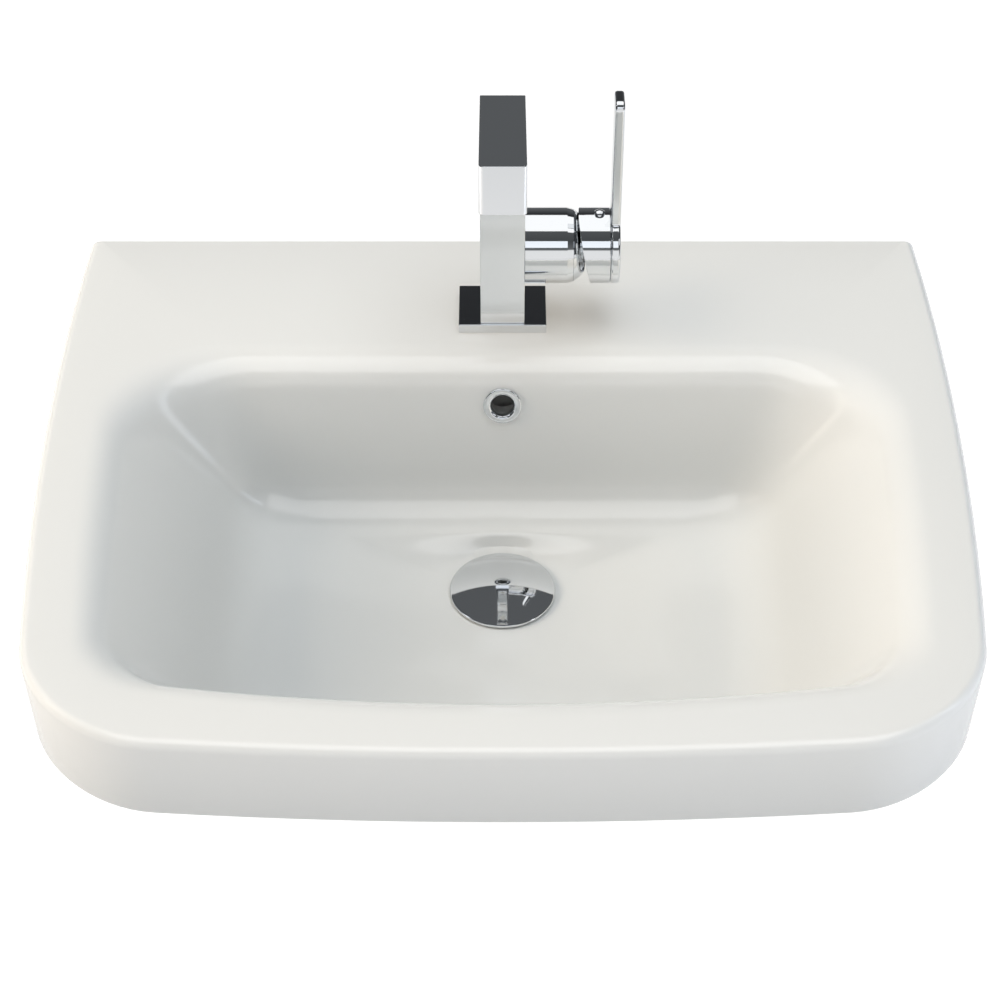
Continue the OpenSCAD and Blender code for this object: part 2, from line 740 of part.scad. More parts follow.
module plug_spring() {
    color("darkgray") at_waste(chamber_foot_h)
        ring(stem_d / 2 + spring_gap + spring_wire, stem_d / 2 + spring_gap, chamber_foot_h - collar_foot_h);
}

module plug_cap() {
    r = plug_d / 2;
    dome = (r * r + dome_h * dome_h) / (2 * dome_h);
    boss_r = stem_d / 2 + cap_boss_wall;
    color("silver") difference() {
        union() {
            at_waste(plug_rim_h) cylinder(r = r, h = plug_rim_t);
            intersection() {
                at_waste(plug_inner_h) cylinder(r = r, h = dome_h);
                at_waste(plug_inner_h - dome_h + dome) sphere(r = dome, $fn = 256);
            }
            at_waste(plug_inner_h + cap_boss_h) cylinder(r = boss_r, h = cap_boss_h + eps);
        }
        // Hollow underside round the boss that holds the stem
        at_waste(plug_rim_h + cut) ring(r - cap_shell_t, boss_r, plug_rim_t + cut);
        at_waste(plug_inner_h + cap_boss_h + cut)
            cylinder(r = stem_d / 2 + seat_fit, h = cap_boss_h + cut);
    }
}

module plug_seal() {
    color("dimgray") at_waste(flange_top_h)
        ring((plug_seal_d + plug_seal_w) / 2, (plug_seal_d - plug_seal_w) / 2,
            flange_top_h - plug_inner_h);
}

module tap_profile() {
    reach = spout_len * cos(spout_rise);
    back = -column_back;
    front = back - column_d;
    top_end = [back - reach, column_h + spout_len * sin(spout_rise)];
    under_end = top_end + spout_t * [-sin(spout_rise), -cos(spout_rise)];
    inner_z = under_end[1] - (front - under_end[0]) * tan(spout_rise);
    polygon([[back, plate_t], [back, column_h], top_end, under_end, [front, inner_z],
        [front, plate_t]]);
}

module tap_body() {
    way_x = -inlet_set;
    way_start = spout_way_set + column_back - tap_d;
    color("silver") difference() {
        union() {
            across(column_w) tap_profile();
            at_axis(column_w / 2)
                cylinder(d = housing_d, h = housing_end - housing_chamfer - column_w / 2);
            at_axis(housing_end - housing_chamfer)
                cylinder(r1 = housing_d / 2, r2 = housing_d / 2 - chamfer_w, h = housing_chamfer);
            at_tap(-shank_h) cylinder(d = shank_d, h = shank_h + plate_t + cut);
        }
        at_axis(chamber_x) cylinder(d = chamber_d, h = housing_end);
        // Supply ways from the inlets to the cartridge
        for (s = [-1, 1]) translate([way_x, s * inlet_spacing / 2, 0]) {
            at_tap(-shank_h - cut) cylinder(d = inlet_d, h = inlet_len + cut);
            at_tap(0) cylinder(d = way_d, h = axis_h - port_drop);
            at_axis(0) translate([port_drop, 0, 0]) cylinder(d = way_d, h = chamber_x + inlet_set + cut);
        }
        // Mixed water way from the cartridge up into the spout
        at_axis(way_x) translate([-port_rise, 0, 0]) cylinder(d = way_d, h = chamber_x + inlet_set + cut);
        translate([way_x, 0, 0]) at_tap(axis_h + port_rise)
            cylinder(d = way_d, h = column_h - spout_way - axis_h - port_rise);
        on_spout() translate([0, way_start, -spout_way]) rotate([90, 0, 0])
            cylinder(d = spout_way_d, h = spout_len - outlet_set + way_start);
        on_spout() translate([0, outlet_set - spout_len, -spout_t - cut])
            cylinder(r = outlet_d / 2 + seat_fit, h = outlet_h + cut);
        // Hole for the fixing stud
        translate([stud_set, 0, 0]) at_tap(-shank_h - cut)
            cylinder(r = stud_d / 2 + seat_fit, h = stud_grip + cut);
    }
}

module tap_base_plate() {
    color("silver") difference() {
        at_tap(0) translate([-plate_w / 2, -plate_d / 2, 0]) cube([plate_w, plate_d, plate_t]);
        at_tap(-cut) cylinder(r = shank_d / 2 + seat_fit, h = plate_t + 2 * cut);
        at_tap(-cut) gasket_ring(gasket_t + cut);
    }
}

// Plain ring that fits round the tap hole
module gasket_ring(h) {
    bore = tap_hole_d / 2 + gasket_gap;
    ring(bore + gasket_w, bore, h);
}

module tap_base_gasket() {
    color("dimgray") at_tap(0) gasket_ring(gasket_t);
}

module fixing_stud() {
    color("gold") translate([stud_set, 0, 0]) at_tap(stud_grip - shank_h - stud_len)
        cylinder(d = stud_d, h = stud_len);
}

module horseshoe(t) {
    difference() {
        cylinder(d = shoe_d, h = t);
        translate([-shoe_d, -shoe_slot_w / 2, -cut])
            cube([shoe_d + shoe_slot_end, shoe_slot_w, t + 2 * cut]);
        translate([stud_set, 0, -cut]) cylinder(r = stud_d / 2 + seat_fit, h = t + 2 * cut);
    }
}

module horseshoe_gasket() {
    color("dimgray") at_tap(-deck_t - shoe_gasket_t) horseshoe(shoe_gasket_t);
}

module horseshoe_washer() {
    color("silver") at_tap(-deck_t - shoe_gasket_t - shoe_washer_t) horseshoe(shoe_washer_t);
}

module fixing_nut() {
    color("gold") translate([stud_set, 0, 0])
        at_tap(-deck_t - shoe_gasket_t - shoe_washer_t - stud_nut_h) difference() {
            hexagon(stud_nut_af, stud_nut_h);
            translate([0, 0, -cut]) cylinder(r = stud_d / 2 + seat_fit, h = stud_nut_h + 2 * cut);
        }
}

module at_outlet(z) {
    on_spout() translate([0, outlet_set - spout_len, z - spout_t]) children();
}

module aerator_housing() {
    color("silver") at_outlet(-outlet_proud) difference() {
        cylinder(d = outlet_d, h = outlet_proud + outlet_h - aerator_seal_t);
        translate([0, 0, aerator_floor])
            cylinder(r = outlet_d / 2 - aerator_wall, h = outlet_proud + outlet_h);
        translate([0, 0, -cut])
            cylinder(r = outlet_d / 2 - aerator_wall - aerator_lip, h = aerator_floor + 2 * cut);
    }
}

module aerator_insert() {
    r = outlet_d / 2 - aerator_wall - seat_fit;
    h = outlet_proud + outlet_h - aerator_seal_t - aerator_floor;
    color("whitesmoke") at_outlet(aerator_floor - outlet_proud) difference() {
        cylinder(r = r, h = h);
        flow_hole(0, 0, h);
        for (a = [0 : 60 : 300]) flow_hole(a, r / 2, h);
        for (a = [30 : 60 : 330]) flow_hole(a, r * outer_flow, h);
    }
}

// Cutter for one hole of the flow former
module flow_hole(a, r, h) {
    rotate([0, 0, a]) translate([r, 0, -cut]) cylinder(r = flow_hole_r, h = h + 2 * cut);
}

module aerator_seal() {
    color("dimgray") at_outlet(outlet_h - aerator_seal_t)
        ring(outlet_d / 2, outlet_d / 2 - aerator_wall - aerator_lip, aerator_seal_t);
}

// The three ports in the cartridge's foot, along the axis
module ports(d, h) {
    for (s = [-1, 1]) translate([port_drop, s * inlet_spacing / 2, 0]) cylinder(d = d, h = h);
    translate([-port_rise, 0, 0]) cylinder(d = d, h = h);
}

module cartridge_base() {
    color("whitesmoke") at_axis(cart_base_x) difference() {
        cylinder(r = cart_r, h = cart_base_t);
        translate([0, 0, -cut]) ports(way_d - port_step, cart_base_t + 2 * cut);
    }
}

module cartridge_seals() {
    color("dimgray") at_axis(chamber_x) difference() {
        ports(way_d + 2 * port_seal_w, port_seal_t);
        translate([0, 0, -cut]) ports(way_d, port_seal_t + 2 * cut);
    }
}

module cartridge_body() {
    color("whitesmoke") at_axis(disc_x) difference() {
        cylinder(r = cart_r, h = cart_len);
        translate([0, 0, -cut]) cylinder(r = cart_in_r, h = cart_len - cart_lid_t + cut);
        cylinder(r = rotor_neck_d / 2 + run_fit, h = cart_len + cut);
    }
}

module fixed_disc() {
    color("lightgray") at_axis(disc_x) difference() {
        cylinder(r = cart_in_r - seat_fit, h = fixed_disc_t);
        translate([0, 0, -cut]) ports(way_d - port_step, fixed_disc_t + 2 * cut);
    }
}

module moving_disc() {
    color("lightgray") at_axis(moving_x) difference() {
        cylinder(d = moving_disc_d, h = moving_disc_t);
        translate([0, 0, -cut]) cylinder(d = way_d, h = cut + moving_disc_t / 2);
    }
}

module disc_carrier() {
    color("gray") at_axis(carrier_x) difference() {
        cylinder(r = moving_disc_d / 2 - carrier_edge, h = carrier_t);
        translate([0, 0, carrier_floor]) cylinder(r = ball_d / 2 + ball_gap, h = carrier_t);
    }
}

module cartridge_rotor() {
    slot = spindle_d + 2 * run_fit;
    color("gray") difference() {
        union() {
            at_axis(rotor_x) cylinder(r = cart_in_r - run_fit, h = rotor_t);
            at_axis(rotor_x) cylinder(d = rotor_neck_d, h = neck_end_x - rotor_x);
        }
        translate([rotor_x - cut, -tap_d - slot / 2, rim_h + axis_h - rotor_neck_d / 2])
            cube([neck_end_x - rotor_x + 2 * cut, slot, rotor_neck_d]);
        at_axis(pivot_x) rotate([90, 0, 0]) translate([0, 0, -rotor_neck_d])
            cylinder(r = pin_d / 2 + seat_fit, h = 2 * rotor_neck_d);
    }
}

module rotor_pin() {
    half = rotor_neck_d / 2 - pin_set;
    color("silver") at_axis(pivot_x) rotate([90, 0, 0]) translate([0, 0, -half])
        cylinder(d = pin_d, h = 2 * half);
}

module spindle() {
    color("silver") difference() {
        union() {
            at_axis(pivot_x - spindle_heel)
                cylinder(d = spindle_d, h = spindle_end_x - pivot_x + spindle_heel);
            at_axis(ball_x) cylinder(d = ball_d - ball_neck, h = ball_arm);
            at_axis(ball_x) sphere(d = ball_d);
        }
        at_axis(pivot_x) rotate([90, 0, 0]) translate([0, 0, -spindle_d])
            cylinder(r = pin_d / 2 + run_fit, h = 2 * spindle_d);
    }
}

module cartridge_nut() {
    color("gold") at_axis(cart_end_x) ring(cart_r, cart_nut_bore / 2, cart_nut_t);
}

module dome_ring() {
    color("silver") difference() {
        union() {
            at_axis(cart_end_x + cart_nut_t)
                cylinder(r = cart_r, h = housing_end - cart_end_x - cart_nut_t + eps);
            intersection() {
                at_axis(pivot_x) sphere(r = dome_r);
                at_axis(housing_end) cylinder(r = cap_r, h = dome_end - housing_end);
            }
        }
        at_axis(cart_end_x) cylinder(d = dome_bore_d, h = dome_end);
    }
}

module handle_cap() {
    lean = atan(cap_slant / housing_d);
    color("silver") difference() {
        union() {
            difference() {
                at_axis(cap_x) cylinder(r = cap_r, h = cap_end - cap_x);
                at_axis(cap_x - cut) cylinder(r = cap_r - cap_wall, h = cap_end - cap_end_t - cap_x + cut);
                // Slanted edge towards the housing
                at_axis(cap_x) translate([-cap_r, 0, 0]) rotate([0, -lean, 0])
                    translate([-cap_r, -housing_d, -housing_d]) cube([4 * cap_r, 2 * housing_d, housing_d]);
            }
            at_axis(hub_x) cylinder(d = hub_d, h = cap_end - hub_x - eps);
        }
        at_axis(hub_x - cut) cylinder(r = spindle_d / 2 + seat_fit, h = spindle_end_x - hub_x + cut);
        at_axis(index_x) rotate([0, -90, 0]) cylinder(r = grub_d / 2 + seat_fit, h = hub_d);
        at_axis(index_x) rotate([0, -90, 0]) translate([0, 0, cap_r - cap_wall - cut])
            cylinder(r = index_d / 2 + seat_fit, h = housing_d);
        lever_screw_places(cap_end - cap_end_t - cut)
            cylinder(r = lever_screw_d / 2 + seat_fit, h = cap_end_t + 2 * cut);
    }
}

module lever_screw_places(x) {
    for (s = [-1, 1]) at_axis(x) translate([screw_drop, s * screw_half, 0]) children();
}

module handle_lever() {
    tip = lever_h - axis_h;
    in_x = lever_w / 2 - lever_tip_r;
    color("silver") difference() {
        at_axis(cap_end) linear_extrude(lever_t) {
            circle(r = cap_r);
            translate([-tip, -in_x]) square([tip, 2 * in_x]);
            translate([lever_tip_r - tip, -lever_w / 2]) square([tip - lever_tip_r, lever_w]);
            for (s = [-1, 1]) translate([lever_tip_r - tip, s * in_x]) circle(r = lever_tip_r);
        }
        lever_screw_places(cap_end - cut)
            cylinder(r = lever_screw_d / 2 + seat_fit, h = cut + lever_t - screw_cover);
    }
}

module lever_screws() {
    color("gray") {
        lever_screw_places(cap_end - cap_end_t - screw_head_h)
            cylinder(d = screw_head_d, h = screw_head_h);
        lever_screw_places(cap_end - cap_end_t - eps)
            cylinder(d = lever_screw_d, h = cap_end_t + lever_t - screw_cover - screw_end_gap);
    }
}

module grub_screw() {
    color("gray") at_axis(index_x) rotate([0, -90, 0]) translate([0, 0, spindle_d / 2])
        cylinder(d = grub_d, h = grub_len);
}

module index_button() {
    button_r = 0.8 * index_d;
    color("silver") at_axis(index_x) rotate([0, -90, 0]) intersection() {
        translate([0, 0, cap_r - cap_wall - button_seat])
            cylinder(d = index_d, h = cap_wall + button_seat + index_proud);
        translate([0, 0, cap_r + index_proud - button_r]) sphere(r = button_r);
    }
}

basin();
overflow_ring();
waste_body();
waste_flange_seal();
waste_lower_seal();
waste_washer();
waste_backnut();
plug_mechanism();
plug_stem();
plug_spring();
plug_cap();
plug_seal();
tap_body();
tap_base_plate();
tap_base_gasket();
fixing_stud();
horseshoe_gasket();
horseshoe_washer();
fixing_nut();
aerator_housing();
aerator_insert();
aerator_seal();
cartridge_base();
cartridge_seals();
cartridge_body();
fixed_disc();
moving_disc();
disc_carrier();
cartridge_rotor();
rotor_pin();
spindle();
cartridge_nut();
dome_ring();
handle_cap();
handle_lever();
lever_screws();
grub_screw();
index_button();
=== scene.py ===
import json
import math

import bmesh
import bpy
from mathutils import Matrix, Vector


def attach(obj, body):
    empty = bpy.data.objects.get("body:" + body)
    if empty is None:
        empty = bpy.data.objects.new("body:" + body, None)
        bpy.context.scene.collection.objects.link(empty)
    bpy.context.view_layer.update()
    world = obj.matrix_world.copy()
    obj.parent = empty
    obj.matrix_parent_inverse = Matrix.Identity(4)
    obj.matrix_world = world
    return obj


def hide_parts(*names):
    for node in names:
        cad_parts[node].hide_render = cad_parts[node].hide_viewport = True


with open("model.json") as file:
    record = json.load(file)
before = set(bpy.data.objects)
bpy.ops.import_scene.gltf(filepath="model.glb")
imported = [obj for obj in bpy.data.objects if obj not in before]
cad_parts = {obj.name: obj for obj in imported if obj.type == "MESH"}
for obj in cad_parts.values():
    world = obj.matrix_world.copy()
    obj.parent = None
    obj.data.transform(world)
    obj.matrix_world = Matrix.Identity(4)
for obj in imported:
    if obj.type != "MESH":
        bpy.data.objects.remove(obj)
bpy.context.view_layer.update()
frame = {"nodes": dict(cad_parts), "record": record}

bl_info = {
    "name": "Washbasin with side-lever mixer",
    "version": (1, 0, 0),
    "blender": (4, 5, 0),
    "location": "3D View > Sidebar > Washbasin",
    "description": "Models a wall-hung washbasin, its waste and its mixer tap piece by piece",
    "category": "Add Mesh",
}

MM = 0.001
# How far a cutter runs past the face that it cuts through
OVERLAP = 1 * MM
# Gap between a piece and the hole that it sits in
FIT = 0.05 * MM
# Vertices closer to each other than this are merged
MERGE = 0.005 * MM
# Radius of the last ring of a turned crown, which is then filled
POLE = 0.02 * MM

# Pieces of the tap above the deck. The photographed tap throws no shadow, so the key passes them.
TAP_PIECES = ("tap_column_and_spout", "tap_square_plate", "dome_trim_ring", "handle_slanted_cap",
              "handle_flat_lever", "index_button_dome")

# Vertices along each stretch of half an outline of the basin
BACK_STEPS = 44
CORNER_STEPS = 16
SIDE_STEPS = 14
FRONT_STEPS = 20

# Depths in millimetres of the rings down the bowl's walls, and of those down its outside
WALL_DEPTHS = (24, 29, 35, 42, 50, 58, 66, 74, 80)
UNDER_DEPTHS = (14, 26, 40, 55, 70, 82, 91, 98, 103, 107, 110, 112.5, 114.3)

# Radius that the bowl's corners lose per unit of depth, at the back and at the front
CORNER_LOSS = (0.5, 0.12)

# The stage in metres: the floor, and the point that every lamp faces
FLOOR_SIZE = 14
FLOOR_HEIGHT = -0.76
LAMP_AIM = Vector((0, -0.2, 0.1))

# Share of the floor's glow that a reflection shows
MIRRORED_GLOW = 0.7

# The camera: its place, its turn in degrees from straight down, its lens and its sensor's width
CAMERA_PLACE = (-0.0016, -1.312, 1.037)
CAMERA_PITCH = 48
CAMERA_LENS = 86.4
CAMERA_SENSOR = 36


def length(name, description, millimetres):
    """A size that a user may change, given in millimetres and kept in metres."""
    return bpy.props.FloatProperty(
        name=name, description=description, default=millimetres * MM, min=0.0,
        unit="LENGTH", subtype="DISTANCE", precision=4)


def angle(name, description, degrees):
    return bpy.props.FloatProperty(
        name=name, description=description, default=math.radians(degrees), subtype="ANGLE")


def linear(hex_colour):
    """An sRGB hex value as a linear colour with alpha."""
    parts = [int(hex_colour[i:i + 2], 16) / 255 for i in (0, 2, 4)]
    return tuple(c / 12.92 if c <= 0.04045 else ((c + 0.055) / 1.055) ** 2.4 for c in parts) + (1.0,)


def colour(name, description, hex_colour):
    return bpy.props.FloatVectorProperty(
        name=name, description=description, default=linear(hex_colour)[:3],
        size=3, min=0.0, max=1.0, subtype="COLOR")


class BasinSizes(bpy.types.PropertyGroup):
    """Sizes of the ceramic. Reaches run from the wall, depths run down from the rim."""
    width: length("Width", "Greatest width of the basin", 560)
    reach: length("Reach", "From the wall to the front edge", 460)
    widest: length("Widest place", "Reach at which the basin is widest", 150)
    side_bow: length("Side bow", "Radius of the gently bowed sides", 2400)
    front_bow: length("Front bow", "Radius of the gently bowed front", 3000)
    front_corner: length("Front corners", "Plan radius of the front corners", 75)
    back_corner: length("Back corners", "Plan radius of the back corners", 2)
    edge: length("Top edge", "Rounding of the top edge", 6)
    wall_edge: length("Wall edge", "Rounding of the top edge along the wall", 1.5)
    foot: length("Foot", "Rounding of the skirt's foot", 2)
    skirt: length("Skirt", "Height of the skirt", 60)
    skirt_lean: length("Skirt lean", "How far the skirt leans in at its foot", 2.5)
    skirt_wall: length("Skirt wall", "Thickness of the skirt", 13)
    deck_wall: length("Deck wall", "Thickness of the deck", 14)
    panel_wall: length("Panel wall", "Thickness of the back panel", 14)
    panel: length("Panel", "Height of the back panel below the rim", 135)
    panel_half: length("Half panel", "Half width of the panel's straight foot", 185)
    panel_rise: length("Panel rise", "Width over which the panel's foot rises to the skirt", 46)
    rim: length("Rim height", "Height of the rim above the wall bolts", 90)
    bolt_spacing: length("Bolt spacing", "Spacing of the wall bolts", 280)
    bolt_hole: length("Bolt hole", "Diameter of the wall bolt holes", 14)
    deck: length("Deck", "Reach of the deck from the wall to the bowl", 111)
    side_rim: length("Side rim", "Flat rim beside the bowl", 28)
    front_rim: length("Front rim", "Flat rim in front of the bowl", 25)
    bowl_back: length("Bowl back corner", "Plan radius of the bowl's lip at the back", 75)
    bowl_front: length("Bowl front corner", "Plan radius of the bowl's lip at the front", 40)
    bowl_bow: length("Bowl bow", "Radius of the bowed front of the bowl", 1060)
    floor: length("Floor", "Depth where the floor meets the walls", 103)
    fall: length("Fall", "Fall of the floor towards the waste", 9)
    waste_flat: length("Waste flat", "Flat radius round the waste", 38)
    bowl_wall: length("Bowl wall", "Thickness of the bowl", 12)
    back_lip: length("Back lip", "Rounding of the lip at the back", 25)
    side_lip: length("Side lip", "Rounding of the lip at the sides", 28)
    front_lip: length("Front lip", "Rounding of the lip at the front", 24)
    back_lean: angle("Back lean", "Lean of the back wall from upright", 13)
    side_lean: angle("Side lean", "Lean of the side walls from upright", 38)
    front_lean: angle("Front lean", "Lean of the front wall from upright", 25)
    back_fillet: length("Back fillet", "Radius between the back wall and the floor", 28)
    side_fillet: length("Side fillet", "Radius between the side walls and the floor", 55)
    front_fillet: length("Front fillet", "Radius between the front wall and the floor", 40)
    boss: length("Boss", "Diameter of the boss under the bowl", 92)
    boss_foot: length("Boss foot", "Depth of the boss's foot", 160)
    channel_wide: length("Channel width", "Width of the overflow channel", 28)
    channel_reach: length("Channel reach", "Reach of the channel's back", 111)
    channel_gap: length("Channel gap", "Depth of the channel behind the overflow hole", 10)
    channel_high: length("Channel height", "Height of the channel under the floor", 14)
    channel_wall: length("Channel wall", "Ceramic round the channel", 6)
    channel_roof: length("Channel roof", "Extra ceramic between floor and channel", 5)


class WasteSizes(bpy.types.PropertyGroup):
    """Sizes of the overflow ring, the waste and the push plug."""
    reach: length("Waste reach", "Distance from the wall to the waste", 223)
    bore: length("Bore", "Bore for the waste in the ceramic", 46)
    flange: length("Flange", "Diameter of the waste flange", 62)
    flange_thick: length("Flange thickness", "Thickness of the flange", 2.5)
    flange_proud: length("Flange proud", "How far the flange stands above the floor", 0.5)
    flange_seal: length("Flange seal", "Thickness of the ring under the flange", 1)
    flange_gap: length("Flange gap", "Space round the flange in its seat", 0.5)
    tube: length("Tube", "Outer diameter of the waste tube", 41.9)
    tube_bore: length("Tube bore", "Inner diameter of the waste tube", 37)
    tall: length("Waste length", "From the flange's top to the tail", 98)
    pitch: length("Thread pitch", "Pitch of the waste's two threads", 2.309)
    thread_deep: length("Thread depth", "Depth of the waste's two threads", 1)
    tail: length("Tail", "Length of the thread for the trap at the tail", 29)
    relief: length("Relief", "Width of the relief between the two threads", 2)
    slot_wide: length("Slot width", "Width of each overflow slot", 14)
    slot_high: length("Slot height", "Height of each overflow slot", 12)
    slot_set: length("Slot place", "Depth of the slots' top below the flange's top", 18.5)
    seal: length("Lower seal", "Height of the seal under the boss", 6)
    seal_wide: length("Lower seal diameter", "Diameter of the lower seal and its washer", 62)
    washer: length("Washer", "Thickness of the waste washer", 1.5)
    nut: length("Backnut", "Thickness of the backnut", 9)
    nut_flats: length("Backnut flats", "Width of the backnut across its flats", 54)
    mechanism: length("Mechanism", "Diameter of the plug mechanism", 18)
    hub_set: length("Hub place", "Depth of the hub's top below the flange's top", 7)
    hub_high: length("Hub height", "Height of the hub round the mechanism", 7)
    hub_wall: length("Hub wall", "Wall of the hub round the mechanism", 2.5)
    spoke: length("Spoke", "Width of the hub's spokes", 4)
    plug: length("Plug", "Diameter of the plug cap", 66.6)
    dome: length("Dome", "Height of the plug cap's dome", 4.6)
    plug_rim: length("Plug rim", "Thickness of the plug cap's rim", 1.9)
    plug_wall: length("Plug rim width", "Width of the plug cap's rim", 2)
    plug_clear: length("Plug clearance", "Height of the closed cap above the floor", 1)
    stem: length("Stem", "Diameter of the plug stem", 6)
    socket_wall: length("Socket wall", "Wall of the cap's socket round the stem", 3)
    socket_deep: length("Socket depth", "Depth of the cap's socket for the stem", 5)
    overflow: length("Overflow depth", "Depth of the overflow's middle below the rim", 29)
    overflow_hole: length("Overflow hole", "Diameter of the overflow hole", 22)
    overflow_ring: length("Overflow ring", "Diameter of the trim ring", 24.4)
    overflow_thick: length("Overflow ring thickness", "How far the trim ring stands out", 2.6)
    overflow_bore: length("Overflow bore", "Bore of the trim ring", 14.5)
    sleeve_wall: length("Sleeve wall", "Wall of the trim ring's sleeve", 1.2)
    sleeve_deep: length("Sleeve length", "Length of the trim ring's sleeve in its hole", 8)


class TapSizes(bpy.types.PropertyGroup):
    """Sizes of the mixer tap, its fixing and its handle."""
    reach: length("Tap reach", "Distance from the wall to the tap's middle", 80)
    hole: length("Tap hole", "Diameter of the hole in the deck", 35)
    plate_wide: length("Plate width", "Width of the base plate", 56)
    plate_deep: length("Plate depth", "Depth of the base plate", 42)
    plate_thick: length("Plate thickness", "Thickness of the base plate", 6.5)
    column_wide: length("Column width", "Width of the column and the spout", 28)
    column_deep: length("Column depth", "Depth of the column", 39)
    column_set: length("Column set-back", "How far the column stands behind the plate's front", 1.5)
    column_high: length("Column height", "Height of the column's top at its back", 152.1)
    spout_rise: angle("Spout rise", "Rise of the spout towards its end", 12)
    spout_long: length("Spout length", "Length of the spout along its top", 115)
    spout_thick: length("Spout height", "Height of the spout's section", 30)
    spout_corner: length("Spout corners", "Rounding of the upright edges at the spout's end", 3.4)
    outlet_set: length("Outlet set-back", "Distance of the outlet from the spout's end", 17)
    outlet: length("Outlet", "Diameter of the outlet sleeve", 22)
    outlet_deep: length("Outlet depth", "Depth of the outlet's hole", 13)
    outlet_proud: length("Outlet proud", "How far the outlet sleeve stands out", 2.5)
    outlet_wall: length("Outlet wall", "Wall of the outlet sleeve", 1.5)
    shank: length("Shank", "Diameter of the shank", 28)
    shank_deep: length("Shank length", "Length of the shank below the rim", 6)
    inlet: length("Inlet", "Diameter of each inlet in the shank", 9)
    inlet_top: length("Inlet top", "Height of the inlets' top above the rim", 7)
    inlet_set: length("Inlet place", "Distance of the inlets left of the tap's middle", 3)
    inlet_apart: length("Inlet spacing", "Spacing of the two inlets", 15)
    axis: length("Axis height", "Height of the cartridge's axis above the rim", 54)
    housing: length("Housing", "Diameter of the cartridge housing", 48)
    housing_end: length("Housing end", "Distance of the housing's end from the tap's middle", 44.5)
    chamfer: length("Housing chamfer", "Length of the chamfer at the housing's end", 4)
    chamber: length("Chamber", "Diameter of the cartridge chamber", 35.2)
    chamber_floor: length("Chamber floor", "Distance of the chamber's floor from the tap's middle", 6)
    dome: length("Dome ring", "Radius of the dome ring about the pivot", 26.6)
    dome_bore: length("Dome ring bore", "Bore of the dome ring", 30.4)
    dome_start: length("Dome ring foot", "Distance of the dome ring's foot from the tap's middle", 39)
    dome_end: length("Dome ring end", "Distance of the dome ring's end from the tap's middle", 51.5)
    pivot: length("Pivot", "Distance of the tilt pivot from the tap's middle", 31)
    cap_start: length("Cap edge", "Distance of the cap's edge at its top", 47.3)
    cap_end: length("Cap end", "Distance of the cap's end", 67.3)
    cap_slant: length("Cap slant", "How far the cap's edge falls back at the bottom", 9.5)
    cap_wall: length("Cap wall", "Wall of the cap", 2)
    cap_face: length("Cap face", "Thickness of the cap's end", 3)
    hub: length("Hub", "Diameter of the hub inside the cap", 16)
    hub_start: length("Hub start", "Distance of the hub's start from the tap's middle", 57)
    spindle: length("Spindle", "Diameter of the spindle", 8)
    spindle_end: length("Spindle end", "Distance of the spindle's end from the tap's middle", 66)
    lever_thick: length("Lever thickness", "Thickness of the lever", 6.2)
    lever_wide: length("Lever width", "Width of the lever", 20)
    lever_top: length("Lever tip", "Height of the lever's tip above the rim", 163.5)
    lever_tip: length("Lever tip corners", "Corner radius of the lever's tip", 5)
    lever_edge: length("Lever edges", "Rounding of the lever's long edges", 1.9)
    screw: length("Screw hole", "Diameter of the holes for the lever's screws", 4.1)
    screw_set: length("Screw place", "Depth of the screws below the cartridge's axis", 5)
    screw_apart: length("Screw spacing", "Spacing of the lever's two screws", 28)
    screw_cover: length("Screw cover", "Metal of the lever over its screws", 2)
    button: length("Index button", "Diameter of the index button", 6.6)
    button_at: length("Button place", "Distance of the button from the tap's middle", 60.5)
    button_proud: length("Button proud", "How far the button stands out", 2.6)
    button_deep: length("Button depth", "How far the button reaches inside the cap's wall", 1)
    button_crown: length("Button crown", "Height of the button's rounded top", 1.4)
    stud: length("Stud", "Diameter of the fixing stud", 8)
    stud_long: length("Stud length", "Length of the fixing stud", 62)
    stud_grip: length("Stud grip", "Length of the stud inside the shank", 11)
    stud_set: length("Stud place", "Distance of the stud right of the tap's middle", 7.5)
    stud_pitch: length("Stud pitch", "Pitch of the stud's thread", 1.25)
    stud_thread: length("Stud thread depth", "Depth of the stud's thread", 0.6)
    stud_nut: length("Stud nut", "Width of the fixing nut across its flats", 13)
    stud_nut_high: length("Stud nut height", "Height of the fixing nut", 14)
    shoe: length("Horseshoe", "Diameter of the horseshoe pieces", 40)
    shoe_slot: length("Horseshoe slot", "Width of the slot in the horseshoe pieces", 24)
    shoe_slot_end: length("Slot end", "How far the slot runs past the tap's middle", 2)
    shoe_gasket: length("Horseshoe gasket", "Thickness of the horseshoe gasket", 3)
    shoe_washer: length("Horseshoe washer", "Thickness of the horseshoe washer", 2.5)


class FinishColours(bpy.types.PropertyGroup):
    """Colours of the finishes, and of the shade painted low in the bowl."""
    china: colour("Glazed china", "White glaze over the fired body", "E8E8E5")
    # Painted shade: a darker glaze colour used low in the bowl to stand in for the bowl's shade, not a
    # thicker glaze
    china_painted_shade: colour("Thick glaze", "Glaze low down, where it ran thicker", "D6D7D5")
    bare_china: colour("Bare china", "Fired body where it is left unglazed", "DDD6C8")
    chrome: colour("Chrome", "Chromium plating", "E6E8EA")
    brass: colour("Brass", "Machined brass", "C9A25A")
    steel: colour("Steel", "Stainless steel", "A9AAAC")
    rubber: colour("Rubber", "Moulded rubber", "1E1E1F")
    grey_plastic: colour("Grey nylon", "Moulded grey nylon", "6E7073")
    white_plastic: colour("White acetal", "Moulded white acetal", "E2E1DC")
    alumina: colour("Alumina", "Lapped ceramic discs", "DAD8CF")
    floor: colour("Floor", "Plain pale floor", "C0C0C0")


def sizes():
    """The sizes of the basin, of the waste and of the tap."""
    scene = bpy.context.scene
    return scene.washbasin_basin, scene.washbasin_waste, scene.washbasin_tap


